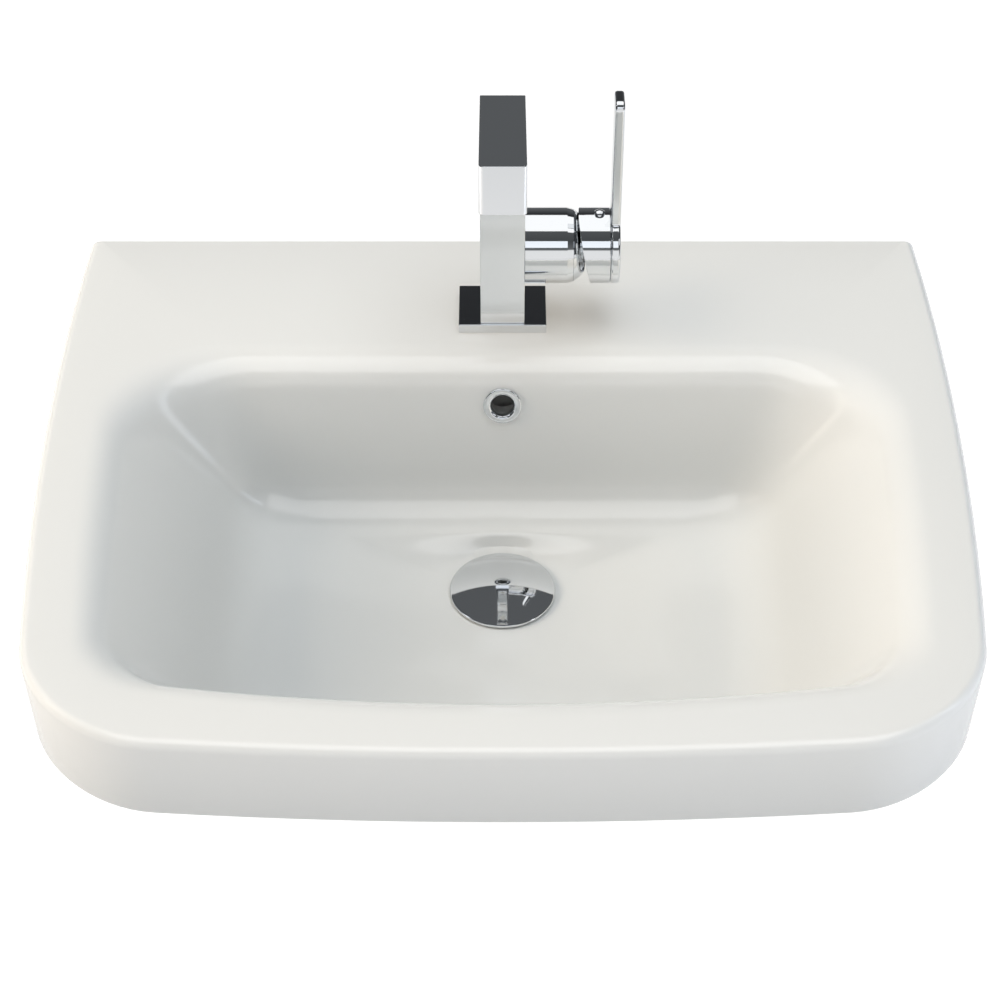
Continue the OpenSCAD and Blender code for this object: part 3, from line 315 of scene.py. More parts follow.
def add_node(tree, kind, inputs=None, **fields):
    """Adds a node, sets its fields, and fills or links its sockets by name."""
    node = tree.nodes.new(kind)
    for field, value in fields.items():
        setattr(node, field, value)
    for name, value in (inputs or {}).items():
        socket = node.inputs[name]
        if isinstance(value, bpy.types.NodeSocket):
            tree.links.new(value, socket)
        else:
            socket.default_value = value
    return node


def new_material(name):
    material = bpy.data.materials.new(name)
    material.use_nodes = True
    tree = material.node_tree
    tree.nodes.clear()
    place = add_node(tree, "ShaderNodeTexCoord").outputs["Object"]
    return material, tree, place


def close_material(tree, shader):
    add_node(tree, "ShaderNodeOutputMaterial", {"Surface": shader.outputs[0]})


def per_metre(feature_mm):
    """Scale of a noise whose blotches are about this many millimetres across."""
    return 1 / (feature_mm * MM)


def varied(tree, place, feature_mm, low, high, detail=2.0):
    """A number that wanders between low and high over blotches of a real size."""
    noise = add_node(tree, "ShaderNodeTexNoise",
                     {"Vector": place, "Scale": per_metre(feature_mm), "Detail": detail})
    return add_node(tree, "ShaderNodeMapRange",
                    {"Value": noise.outputs[0], "From Min": 0.3, "From Max": 0.7,
                     "To Min": low, "To Max": high}).outputs[0]


def uneven(tree, place, feature_mm, height_mm, strength=1.0, detail=2.0):
    """A normal for a surface that rises and falls by a real height over a real distance."""
    noise = add_node(tree, "ShaderNodeTexNoise",
                     {"Vector": place, "Scale": per_metre(feature_mm), "Detail": detail})
    return add_node(tree, "ShaderNodeBump",
                    {"Height": noise.outputs[0], "Strength": strength,
                     "Distance": height_mm * MM}).outputs[0]


def blotched(tree, place, feature_mm, first, second):
    """A colour that wanders between two near tones."""
    noise = add_node(tree, "ShaderNodeTexNoise",
                     {"Vector": place, "Scale": per_metre(feature_mm), "Detail": 2.0})
    mixed = add_node(tree, "ShaderNodeMix", data_type="RGBA")
    tree.links.new(noise.outputs[0], mixed.inputs["Factor"])
    mixed.inputs["A"].default_value = tuple(first) + (1.0,)
    mixed.inputs["B"].default_value = tuple(second) + (1.0,)
    return next(o for o in mixed.outputs if o.type == "RGBA")


def painted_low_shade(tree, place, high_mm, low_mm, upper_tone, thickness_or_shade):
    """A colour that turns from the upper tone to a darker one between two heights: painted shade, darkest
    low in the bowl.
    """
    height = add_node(tree, "ShaderNodeSeparateXYZ", {"Vector": place}).outputs["Z"]
    share = add_node(tree, "ShaderNodeMapRange",
                     {"Value": height, "From Min": high_mm * MM, "From Max": low_mm * MM},
                     interpolation_type="SMOOTHSTEP")
    mixed = add_node(tree, "ShaderNodeMix", data_type="RGBA")
    tree.links.new(share.outputs[0], mixed.inputs["Factor"])
    mixed.inputs["A"].default_value = tuple(upper_tone) + (1.0,)
    mixed.inputs["B"].default_value = tuple(thickness_or_shade) + (1.0,)
    return next(o for o in mixed.outputs if o.type == "RGBA")


def glazed_china(colours):
    """Vitreous china, slip-cast and sprayed with glaze: glassy, with a faint ripple in the glaze, and with
    painted shade that darkens it low in the bowl.
    """
    material, tree, place = new_material("vitreous_china_glazed")
    close_material(tree, add_node(tree, "ShaderNodeBsdfPrincipled", {
        # Painted shade: the glaze darkens from 88 mm down to 10 mm height, standing in for the shade
        # inside the bowl
        "Base Color": painted_low_shade(tree, place, 88, 10, colours.china, colours.china_painted_shade),
        "Roughness": varied(tree, place, 60, 0.1, 0.15),
        "IOR": 1.5,
        "Normal": uneven(tree, place, 34, 0.05, 0.35, 0.0)}))
    return material


def bare_china(colours):
    """The same body where it stood on the kiln shelf: dry, cream and finely grained."""
    material, tree, place = new_material("vitreous_china_bare")
    darker = [c * 0.93 for c in colours.bare_china]
    close_material(tree, add_node(tree, "ShaderNodeBsdfPrincipled", {
        "Base Color": blotched(tree, place, 25, colours.bare_china, darker),
        "Roughness": varied(tree, place, 8, 0.75, 0.9),
        "IOR": 1.5,
        "Normal": uneven(tree, place, 1.2, 0.08, 0.5)}))
    return material


def chrome_plate(colours):
    """Polished brass plated with nickel and chromium: a mirror with the faintest polishing ripple."""
    material, tree, place = new_material("brass_chrome_plated")
    close_material(tree, add_node(tree, "ShaderNodeBsdfPrincipled", {
        "Base Color": tuple(colours.chrome) + (1.0,),
        "Metallic": 1.0,
        "Roughness": varied(tree, place, 12, 0.03, 0.06),
        "Normal": uneven(tree, place, 22, 0.02, 0.25, 0.0)}))
    return material


def machined_brass(colours):
    """Turned brass, left bare: satin, with tool marks drawn coarser than real so that they show."""
    material, tree, place = new_material("brass_turned")
    duller = [c * 0.82 for c in colours.brass]
    close_material(tree, add_node(tree, "ShaderNodeBsdfPrincipled", {
        "Base Color": blotched(tree, place, 9, colours.brass, duller),
        "Metallic": 1.0,
        "Roughness": varied(tree, place, 3, 0.28, 0.42),
        "Normal": uneven(tree, place, 0.9, 0.02, 0.4)}))
    return material


def stainless_steel(colours):
    """Pressed and turned stainless steel with a dull roller finish."""
    material, tree, place = new_material("stainless_steel_rolled")
    duller = [c * 0.88 for c in colours.steel]
    close_material(tree, add_node(tree, "ShaderNodeBsdfPrincipled", {
        "Base Color": blotched(tree, place, 11, colours.steel, duller),
        "Metallic": 1.0,
        "Roughness": varied(tree, place, 4, 0.25, 0.38),
        "Normal": uneven(tree, place, 0.7, 0.015, 0.4)}))
    return material


def moulded_rubber(colours):
    """Compression-moulded rubber: black, matt and a little dusty."""
    material, tree, place = new_material("rubber_moulded")
    dusty = [c * 1.8 for c in colours.rubber]
    close_material(tree, add_node(tree, "ShaderNodeBsdfPrincipled", {
        "Base Color": blotched(tree, place, 6, colours.rubber, dusty),
        "Roughness": varied(tree, place, 4, 0.62, 0.8),
        "IOR": 1.52,
        "Normal": uneven(tree, place, 0.6, 0.02, 0.5)}))
    return material


def moulded_plastic(name, tone, ior):
    """Injection-moulded plastic: even, with the soft sheen of a fine spark-eroded mould."""
    material, tree, place = new_material(name)
    darker = [c * 0.94 for c in tone]
    close_material(tree, add_node(tree, "ShaderNodeBsdfPrincipled", {
        "Base Color": blotched(tree, place, 15, tone, darker),
        "Roughness": varied(tree, place, 5, 0.36, 0.5),
        "IOR": ior,
        "Normal": uneven(tree, place, 0.5, 0.01, 0.4)}))
    return material


def lapped_alumina(colours):
    """Sintered alumina, lapped flat: dense, pale and nearly polished."""
    material, tree, place = new_material("alumina_lapped")
    darker = [c * 0.95 for c in colours.alumina]
    close_material(tree, add_node(tree, "ShaderNodeBsdfPrincipled", {
        "Base Color": blotched(tree, place, 5, colours.alumina, darker),
        "Roughness": varied(tree, place, 3, 0.18, 0.3),
        "IOR": 1.76,
        "Normal": uneven(tree, place, 0.4, 0.004, 0.4)}))
    return material


def finish_named(slot):
    """The material for a material slot of the record, made when it is first asked for."""
    colours = bpy.context.scene.washbasin_colours
    makers = {
        "glazed_ceramic": ("vitreous_china_glazed", lambda: glazed_china(colours)),
        "bare_ceramic": ("vitreous_china_bare", lambda: bare_china(colours)),
        "chrome_plate": ("brass_chrome_plated", lambda: chrome_plate(colours)),
        "rubber": ("rubber_moulded", lambda: moulded_rubber(colours)),
        "brass": ("brass_turned", lambda: machined_brass(colours)),
        "steel": ("stainless_steel_rolled", lambda: stainless_steel(colours)),
        "grey_plastic": ("nylon_moulded",
                         lambda: moulded_plastic("nylon_moulded", colours.grey_plastic, 1.53)),
        "white_plastic": ("acetal_moulded",
                          lambda: moulded_plastic("acetal_moulded", colours.white_plastic, 1.48)),
        "disc_ceramic": ("alumina_lapped", lambda: lapped_alumina(colours)),
    }
    name, make = makers[slot]
    return bpy.data.materials.get(name) or make()


def start_piece():
    """Leaves any edit mode and deselects everything, so that operators act on the new piece alone."""
    if bpy.context.object and bpy.context.object.mode != "OBJECT":
        bpy.ops.object.mode_set(mode="OBJECT")
    bpy.ops.object.select_all(action="DESELECT")


def only(piece):
    start_piece()
    piece.select_set(True)
    bpy.context.view_layer.objects.active = piece


def begin_edit(mode="VERT"):
    bpy.ops.object.mode_set(mode="EDIT")
    bpy.ops.mesh.select_mode(type=mode)
    bpy.ops.mesh.select_all(action="SELECT")


def end_edit():
    """Closes open ends, merges doubles and turns the faces outwards."""
    bpy.ops.mesh.select_all(action="SELECT")
    bpy.ops.mesh.remove_doubles(threshold=MERGE)
    bpy.ops.mesh.fill_holes(sides=0)
    bpy.ops.mesh.select_all(action="SELECT")
    bpy.ops.mesh.normals_make_consistent(inside=False)
    bpy.ops.object.mode_set(mode="OBJECT")


def place_piece(piece, place=(0, 0, 0), turn=(0, 0, 0)):
    """Puts a piece in its place and writes that place into its mesh."""
    only(piece)
    piece.location = place
    piece.rotation_euler = turn
    bpy.ops.object.transform_apply(location=True, rotation=True, scale=True)
    return piece


def turned(profile, sides=96, loop=False):
    """A turned piece. profile lists (radius, height), and a loop returns to its first point."""
    start_piece()
    points = list(profile) + ([profile[0]] if loop else [])
    bpy.ops.mesh.primitive_circle_add(vertices=sides, radius=points[0][0],
                                      location=(0, 0, points[0][1]), fill_type="NOTHING")
    piece = bpy.context.object
    bpy.ops.object.transform_apply(location=True)
    begin_edit()
    for (radius, height), (next_radius, next_height) in zip(points, points[1:]):
        bpy.ops.mesh.extrude_region_move(
            TRANSFORM_OT_translate={"value": (0, 0, next_height - height)})
        ratio = next_radius / radius
        bpy.ops.transform.resize(value=(ratio, ratio, 1), center_override=(0, 0, next_height))
    end_edit()
    return piece


def drawn(corners, thickness):
    """A flat outline filled and extruded upwards by a thickness."""
    start_piece()
    bpy.ops.mesh.primitive_circle_add(vertices=len(corners), radius=0.1, fill_type="NGON")
    piece = bpy.context.object
    for vertex, (x, y) in zip(piece.data.vertices, corners):
        vertex.co = (x, y, 0)
    begin_edit()
    bpy.ops.mesh.extrude_region_move(TRANSFORM_OT_translate={"value": (0, 0, thickness)})
    end_edit()
    return piece


def block(low, high):
    """A cube primitive between two corners."""
    start_piece()
    middle = [(a + b) / 2 for a, b in zip(low, high)]
    bpy.ops.mesh.primitive_cube_add(size=1, location=middle)
    piece = bpy.context.object
    piece.scale = [b - a for a, b in zip(low, high)]
    bpy.ops.object.transform_apply(location=True, rotation=True, scale=True)
    return piece


def apply_modifier(piece, kind, **settings):
    only(piece)
    modifier = piece.modifiers.new(kind.title(), kind)
    for field, value in settings.items():
        setattr(modifier, field, value)
    bpy.ops.object.modifier_apply(modifier=modifier.name)
    return piece


def join_shapes(piece, other, operation):
    """Cuts other from piece, or joins it to it, and removes other."""
    apply_modifier(piece, "BOOLEAN", operation=operation, solver="EXACT", object=other)
    bpy.data.objects.remove(other)
    return piece


def cut(piece, other):
    return join_shapes(piece, other, "DIFFERENCE")


def join(piece, other):
    return join_shapes(piece, other, "UNION")


def rounded(piece, radius, segments=3, over=30):
    """Rounds every edge that turns by more than an angle."""
    return apply_modifier(piece, "BEVEL", width=radius, segments=segments,
                          limit_method="ANGLE", angle_limit=math.radians(over))


def rounded_edges(piece, radius, segments, chosen):
    """Rounds the edges for which chosen says so, given the edge's two ends."""
    only(piece)
    bpy.ops.object.mode_set(mode="EDIT")
    bpy.ops.mesh.select_mode(type="EDGE")
    bpy.ops.mesh.select_all(action="DESELECT")
    mesh = bmesh.from_edit_mesh(piece.data)
    for edge in mesh.edges:
        edge.select = bool(chosen(edge.verts[0].co, edge.verts[1].co))
    mesh.select_flush_mode()
    bmesh.update_edit_mesh(piece.data)
    bpy.ops.mesh.bevel(offset=radius, segments=segments, profile=0.5)
    bpy.ops.object.mode_set(mode="OBJECT")
    return piece


def finish_piece(piece, name, body, slot, smooth=30, level=True):
    """Shades, dresses and hangs a finished piece on its body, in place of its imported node."""
    only(piece)
    piece.name = name
    piece.data.name = name
    bpy.ops.object.shade_smooth_by_angle(angle=math.radians(smooth))
    if level:
        apply_modifier(piece, "WEIGHTED_NORMAL", keep_sharp=True, weight=100)
    piece.data.materials.clear()
    piece.data.materials.append(finish_named(slot))
    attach(piece, body)
    return piece


def mix(first, second, share):
    return first + (second - first) * share


def ease(share):
    return share * share * (3 - 2 * share)


def half_outline(half_width, near, far, near_corner, far_corner):
    """Half of a rounded outline, from the middle of the back to the middle of the front."""
    points = [((half_width - near_corner) * i / BACK_STEPS, near) for i in range(BACK_STEPS)]
    turns = [math.pi / 2 * i / CORNER_STEPS for i in range(CORNER_STEPS + 1)]
    points += [(half_width - near_corner * (1 - math.sin(a)), near + near_corner * (1 - math.cos(a)))
               for a in turns]
    points += [(half_width, mix(near + near_corner, far - far_corner, i / SIDE_STEPS))
               for i in range(1, SIDE_STEPS)]
    points += [(half_width - far_corner * (1 - math.cos(a)), far - far_corner * (1 - math.sin(a)))
               for a in turns]
    points += [((half_width - far_corner) * (1 - i / FRONT_STEPS), far)
               for i in range(1, FRONT_STEPS + 1)]
    return points


class BasinForm:
    """The basin's surfaces as outlines at a depth below the rim."""

    def __init__(self, basin, waste):
        self.b = basin
        self.w = waste
        self.half_lip = basin.width / 2 - basin.side_rim
        self.far_lip = basin.reach - basin.front_rim
        self.channel_top = basin.floor + basin.fall + basin.bowl_wall + basin.channel_roof
        self.channel_foot = self.channel_top + basin.channel_high
        self.overflow_run = self.lip_run(waste.overflow, basin.back_lip, basin.back_lean)

    def outline(self, half_width, near, far, near_corner, far_corner, bow):
        """The whole outline with its sides gently bowed and its front to the radius bow."""
        b = self.b
        bent = [(x * (1 - (y - b.widest) ** 2 / (b.side_bow * b.width)),
                 y - (y / b.reach) ** 3 * x ** 2 / (2 * bow))
                for x, y in half_outline(half_width, near, far, near_corner, far_corner)]
        return [(x, -y) for x, y in bent] + [(-x, -y) for x, y in bent[-2:0:-1]]

    def walls(self):
        """Lip rounding, lean and fillet of the side, back and front wall."""
        b = self.b
        return ((b.side_lip, b.side_lean, b.side_fillet),
                (b.back_lip, b.back_lean, b.back_fillet),
                (b.front_lip, b.front_lean, b.front_fillet))

    @staticmethod
    def lip_run(depth, lip, lean):
        turn = lip * (1 - math.sin(lean))
        if depth >= turn:
            return lip * math.cos(lean) + (depth - turn) * math.tan(lean)
        return math.sqrt(lip * lip - (lip - depth) ** 2)

    def floor_run(self, lip, lean, fillet):
        top = self.b.floor - fillet * (1 - math.sin(lean))
        return self.lip_run(top, lip, lean) + fillet * math.cos(lean)

    def wall_run(self, depth, lip, lean, fillet):
        """How far the wall has come in from the lip at a depth."""
        if depth <= self.b.floor - fillet * (1 - math.sin(lean)):
            return self.lip_run(depth, lip, lean)
        rise = depth - self.b.floor + fillet
        return self.floor_run(lip, lean, fillet) - math.sqrt(max(0.0, fillet ** 2 - rise ** 2))

    def outer_run(self, depth, lip, lean, fillet):
        """The same for the outside of the bowl, one wall thickness away."""
        outer = fillet + self.b.bowl_wall
        start = self.b.floor - fillet + outer * math.sin(lean)
        end = self.floor_run(lip, lean, fillet)
        if depth < start:
            return end - outer * math.cos(lean) - (start - depth) * math.tan(lean)
        rise = depth - self.b.floor + fillet
        return end - math.sqrt(max(0.0, outer ** 2 - rise ** 2))

    def at(self, points, height):
        return [(x, y, self.b.rim + height) for x, y in points]

    def bowl_ring(self, depth):
        b = self.b
        side, back, front = (self.wall_run(depth, *wall) for wall in self.walls())
        return self.at(self.outline(
            self.half_lip - side, b.deck + back, self.far_lip - front,
            b.bowl_back - CORNER_LOSS[0] * depth,
            b.bowl_front - CORNER_LOSS[1] * depth, b.bowl_bow), -depth)

    def under_ring(self, depth):
        b = self.b
        side, back, front = (self.outer_run(depth, *wall) for wall in self.walls())
        loss = min(depth, b.floor)
        return self.at(self.outline(
            self.half_lip - side, b.deck + back, self.far_lip - front,
            b.bowl_back - CORNER_LOSS[0] * loss + b.bowl_wall,
            b.bowl_front - CORNER_LOSS[1] * loss + b.bowl_wall, b.bowl_bow), -depth)

    def round_ring(self, ring, radius, share, height):
        """A ring part of the way to a circle round the waste."""
        points = []
        for x, y, _ in ring:
            out = Vector((x, y + self.w.reach))
            round_out = out * (radius / out.length)
            points.append((mix(x, round_out.x, share),
                           mix(y, round_out.y - self.w.reach, share), self.b.rim + height))
        return points

    def skin_ring(self, side, back, height):
        b = self.b
        return self.at(self.outline(b.width / 2 - side, back, b.reach - side,
                                    b.back_corner, b.front_corner - side, b.front_bow), height)

    def panel_drop(self, x):
        b = self.b
        share = (b.panel_half + b.panel_rise - abs(x)) / b.panel_rise
        return (b.panel - b.skirt) * ease(max(0.0, min(1.0, share)))

    def foot_ring(self, side, back, up):
        b = self.b
        ring = self.skin_ring(side, back, up - b.skirt)
        return [(x, y, z - (self.panel_drop(x) if -y <= b.panel_wall + OVERLAP else 0))
                for x, y, z in ring]

    def rings(self):
        """Every ring in turn: out of the waste, up the bowl, over the rim, down and under."""
        b = self.b
        floor_ring = self.bowl_ring(b.floor)
        rings = [self.round_ring(floor_ring, b.waste_flat, s / 12, -b.floor - b.fall * ease(s / 12))
                 for s in range(12, 0, -1)]
        fillet = [b.floor - b.side_fillet * (1 - math.sin(math.radians(a)))
                  for a in range(42, 91, 4)]
        wall = [depth * MM for depth in WALL_DEPTHS]
        lip = [b.side_lip * (1 - math.cos(math.radians(a))) for a in range(5, 80, 6)]
        rings += [self.bowl_ring(depth) for depth in sorted(lip + wall + fillet, reverse=True)]
        rings.append(self.bowl_ring(0.0))
        for a in range(0, 91, 10):
            s, c = math.sin(math.radians(a)), math.cos(math.radians(a))
            rings.append(self.skin_ring(b.edge * (1 - s), b.wall_edge * (1 - s), -b.edge * (1 - c)))
        for share in (0.35, 0.7):
            height = -mix(b.edge, b.skirt - b.foot, share)
            rings.append(self.skin_ring(b.skirt_lean * share, 0, height))
        for a in range(0, 91, 18):
            s, c = math.sin(math.radians(a)), math.cos(math.radians(a))
            rings.append(self.foot_ring(b.skirt_lean + b.foot * (1 - c), b.foot / 2 * (1 - c),
                                        b.foot * (1 - s)))
        rings.append(self.foot_ring(b.skirt_wall, b.panel_wall, 0))
        rings.append(self.skin_ring(b.skirt_wall, b.panel_wall, -b.deck_wall))
        rings += [self.under_ring(depth * MM) for depth in UNDER_DEPTHS]
        under_floor = self.under_ring(b.floor + b.bowl_wall)
        rings.append(under_floor)
        boss_top = b.floor + b.fall + b.bowl_wall
        rings += [self.round_ring(under_floor, b.boss / 2, s / 6,
                                  -mix(b.floor + b.bowl_wall, boss_top, ease(s / 6)))
                  for s in range(1, 7)]
        rings.append(self.round_ring(under_floor, b.boss / 2, 1, -b.boss_foot))
        return rings

    def back_middle(self, depth):
        """Reach of the middle of the back wall's thickness at a depth."""
        wall = self.walls()[1]
        return self.b.deck + (self.wall_run(depth, *wall) + self.outer_run(depth, *wall)) / 2

    def at_overflow(self, piece):
        """Sets a piece made upright at the origin square to the back wall, at the overflow."""
        b = self.b
        return place_piece(piece, (0, -b.deck - self.overflow_run, b.rim - self.w.overflow),
                           (math.pi / 2 - b.back_lean, 0, 0))


def drawn_up(rings):
    """A shell drawn up from one circle ring by ring: each is extruded and set to its outline."""
    start_piece()
    bpy.ops.mesh.primitive_circle_add(vertices=len(rings[0]), radius=0.1, fill_type="NOTHING")
    piece = bpy.context.object
    begin_edit()
    mesh = bmesh.from_edit_mesh(piece.data)
    place = mesh.verts.layers.int.new("place")
    for number, vertex in enumerate(mesh.verts):
        vertex[place] = number
        vertex.co = rings[0][number]
    bmesh.update_edit_mesh(piece.data)
    for ring in rings[1:]:
        bpy.ops.mesh.extrude_region()
        mesh = bmesh.from_edit_mesh(piece.data)
        place = mesh.verts.layers.int["place"]
        for vertex in mesh.verts:
            if vertex.select:
                vertex.co = ring[vertex[place]]
        bmesh.update_edit_mesh(piece.data)
    end_edit()
    piece.data.attributes.remove(piece.data.attributes["place"])
    return piece


def across(corners, width):
    """A side view, given as (reach, height above the rim), extruded across the basin's middle."""
    rim = sizes()[0].rim
    piece = drawn([(-reach, height + rim) for reach, height in corners], width)
    piece.data.transform(Matrix(((0, 0, 1, -width / 2), (1, 0, 0, 0), (0, 1, 0, 0), (0, 0, 0, 1))))
    return piece


def rod(radius, low, high, place=(0, 0, 0), turn=(0, 0, 0), sides=96):
    """A plain cylinder between two heights on its own axis."""
    return place_piece(turned([(radius, low), (radius, high)], sides), place, turn)


class BasinOperator(bpy.types.Operator):
    """Draws up the ceramic basin ring by ring and cuts its holes and its overflow channel"""
    bl_idname = "washbasin.ceramic"
    bl_label = "Ceramic basin"

    def execute(self, context):
        b, w, t = sizes()
        form = BasinForm(b, w)
        piece = drawn_up(form.rings())
        join(piece, self.channel_rib(form))
        self.cut_waste_bore(piece, b, w)
        self.cut_overflow(piece, form)
        cut(piece, self.channel(form))
        cut(piece, rod(t.hole / 2, -b.deck_wall - OVERLAP, OVERLAP, (0, -t.reach, b.rim)))
        for side in (-1, 1):
            cut(piece, rod(b.bolt_hole / 2, -OVERLAP, b.panel_wall + OVERLAP,
                           (side * b.bolt_spacing / 2, 0, 0), (math.pi / 2, 0, 0)))
        finish_piece(piece, "ceramic_basin", "fixed", "glazed_ceramic", smooth=40, level=False)
        self.leave_bare(piece, b.rim - b.skirt)
        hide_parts("basin")
        return {"FINISHED"}

    @staticmethod
    def channel_rib(form):
        """The ceramic round the overflow channel, down the bowl's back and under its floor."""
        b, w = form.b, form.w
        top, foot = b.deck_wall / 2, form.channel_foot + b.channel_wall
        back = b.channel_reach - b.channel_wall
        depths = [mix(b.deck_wall, b.floor, i / 7) for i in range(1, 7)]
        in_wall = [(form.back_middle(depth), -depth) for depth in depths]
        side_view = [(back, -foot), (back, -top), (b.deck, -top)] + in_wall + [
            (b.deck + form.floor_run(*form.walls()[1]), -b.floor - b.bowl_wall / 2),
            (w.reach, -b.floor - b.fall - b.bowl_wall / 2), (w.reach, -foot)]
        return rounded(across(side_view, b.channel_wide + 2 * b.channel_wall), 2 * MM, 2, 60)

    @staticmethod
    def channel(form):
        """The hollow from behind the overflow hole down to the bore for the waste."""
        b, w = form.b, form.w
        top, foot = form.channel_top, form.channel_foot
        start, front = b.deck_wall + b.channel_wall, b.channel_reach + b.channel_gap
        return across([(b.channel_reach, -foot), (b.channel_reach, -start), (front, -start),
                       (front, -top), (w.reach, -top), (w.reach, -foot)], b.channel_wide)

    @staticmethod
    def cut_waste_bore(piece, b, w):
        """Cuts the bore for the waste, and the seat of its flange and of the ring under it."""
        place = (0, -w.reach, b.rim)
        flange_foot = b.floor + b.fall - w.flange_proud + w.flange_thick
        cut(piece, rod(w.bore / 2, -b.boss_foot - OVERLAP, 0, place))
        cut(piece, rod(w.flange / 2 + w.flange_gap, -flange_foot - w.flange_seal, 0, place))

    @staticmethod
    def cut_overflow(piece, form):
        """Cuts the hole from the bowl's back wall to the middle of the channel."""
        b, w = form.b, form.w
        reach = b.deck + form.overflow_run - b.channel_reach - b.channel_gap / 2
        deep = reach / math.cos(b.back_lean)
        cut(piece, form.at_overflow(rod(w.overflow_hole / 2, -deep, deep)))

    @staticmethod
    def leave_bare(piece, foot):
        """Leaves the face on the wall and the foot of the skirt without glaze."""
        near, facing = 0.3 * MM, 0.9
        piece.data.materials.append(finish_named("bare_ceramic"))
        for face in piece.data.polygons:
            on_wall = face.center.y > -near and face.normal.y > facing
            on_foot = abs(face.center.z - foot) < near and face.normal.z < -facing
            if on_wall or on_foot:
                face.material_index = 1


class OverflowOperator(bpy.types.Operator):
    """Turns the chromed trim ring of the overflow"""
    bl_idname = "washbasin.overflow"
    bl_label = "Overflow ring"

    def execute(self, context):
        b, w, _ = sizes()
        outer, bore, thickness_or_shade = w.overflow_ring / 2, w.overflow_bore / 2, w.overflow_thick
        sleeve = w.overflow_hole / 2 - FIT
        inner = sleeve - w.sleeve_wall
        edge = 1.0 * MM
        profile = [(inner, -w.sleeve_deep), (sleeve, -w.sleeve_deep), (sleeve, 0), (outer, 0)]
        profile += [(outer - edge * (1 - math.cos(a)), thickness_or_shade - edge * (1 - math.sin(a)))
                    for a in (math.radians(d) for d in range(0, 91, 15))]
        profile += [(bore + 2.0 * MM, thickness_or_shade), (bore + 0.9 * MM, thickness_or_shade - 0.5 * MM),
                    (bore + 0.25 * MM, thickness_or_shade - 1.2 * MM), (bore, thickness_or_shade - 2 * MM),
                    (bore, -thickness_or_shade), (inner, -thickness_or_shade)]
        ring = BasinForm(b, w).at_overflow(turned(profile, 96, loop=True))
        finish_piece(ring, "overflow_trim_ring", "fixed", "chrome_plate")
        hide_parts("overflow_ring")
        return {"FINISHED"}


def threaded(radius, top, foot, pitch, depth):
    """Points of a thread's outline, drawn as rings, from a top height down to a foot."""
    points = []
    height = top
    while height - pitch > foot:
        points += [(radius, height), (radius - depth, height - 0.5 * pitch)]
        height -= pitch
    return points + [(radius, height)]


def hexagon_nut(flats, high, bore):
    """A hexagonal nut with the corners turned off at both faces."""
    corner = flats / math.sqrt(3)
    points = [(corner * math.cos(math.radians(60 * i)), corner * math.sin(math.radians(60 * i)))
              for i in range(6)]
    nut = drawn(points, high)
    turn_off = (corner - flats / 2) * 0.6
    face, widest = flats / 2 - 0.2 * MM, corner + 0.1 * MM
    # The cones run on past the nut's faces: an envelope that ends in them sometimes leaves no nut
    past = face - (widest - face) / turn_off * OVERLAP
    envelope = turned([(past, -OVERLAP), (widest, turn_off), (widest, high - turn_off),
                       (past, high + OVERLAP)], 72)
    join_shapes(nut, envelope, "INTERSECT")
    return cut(nut, rod(bore, -OVERLAP, high + OVERLAP, sides=72))


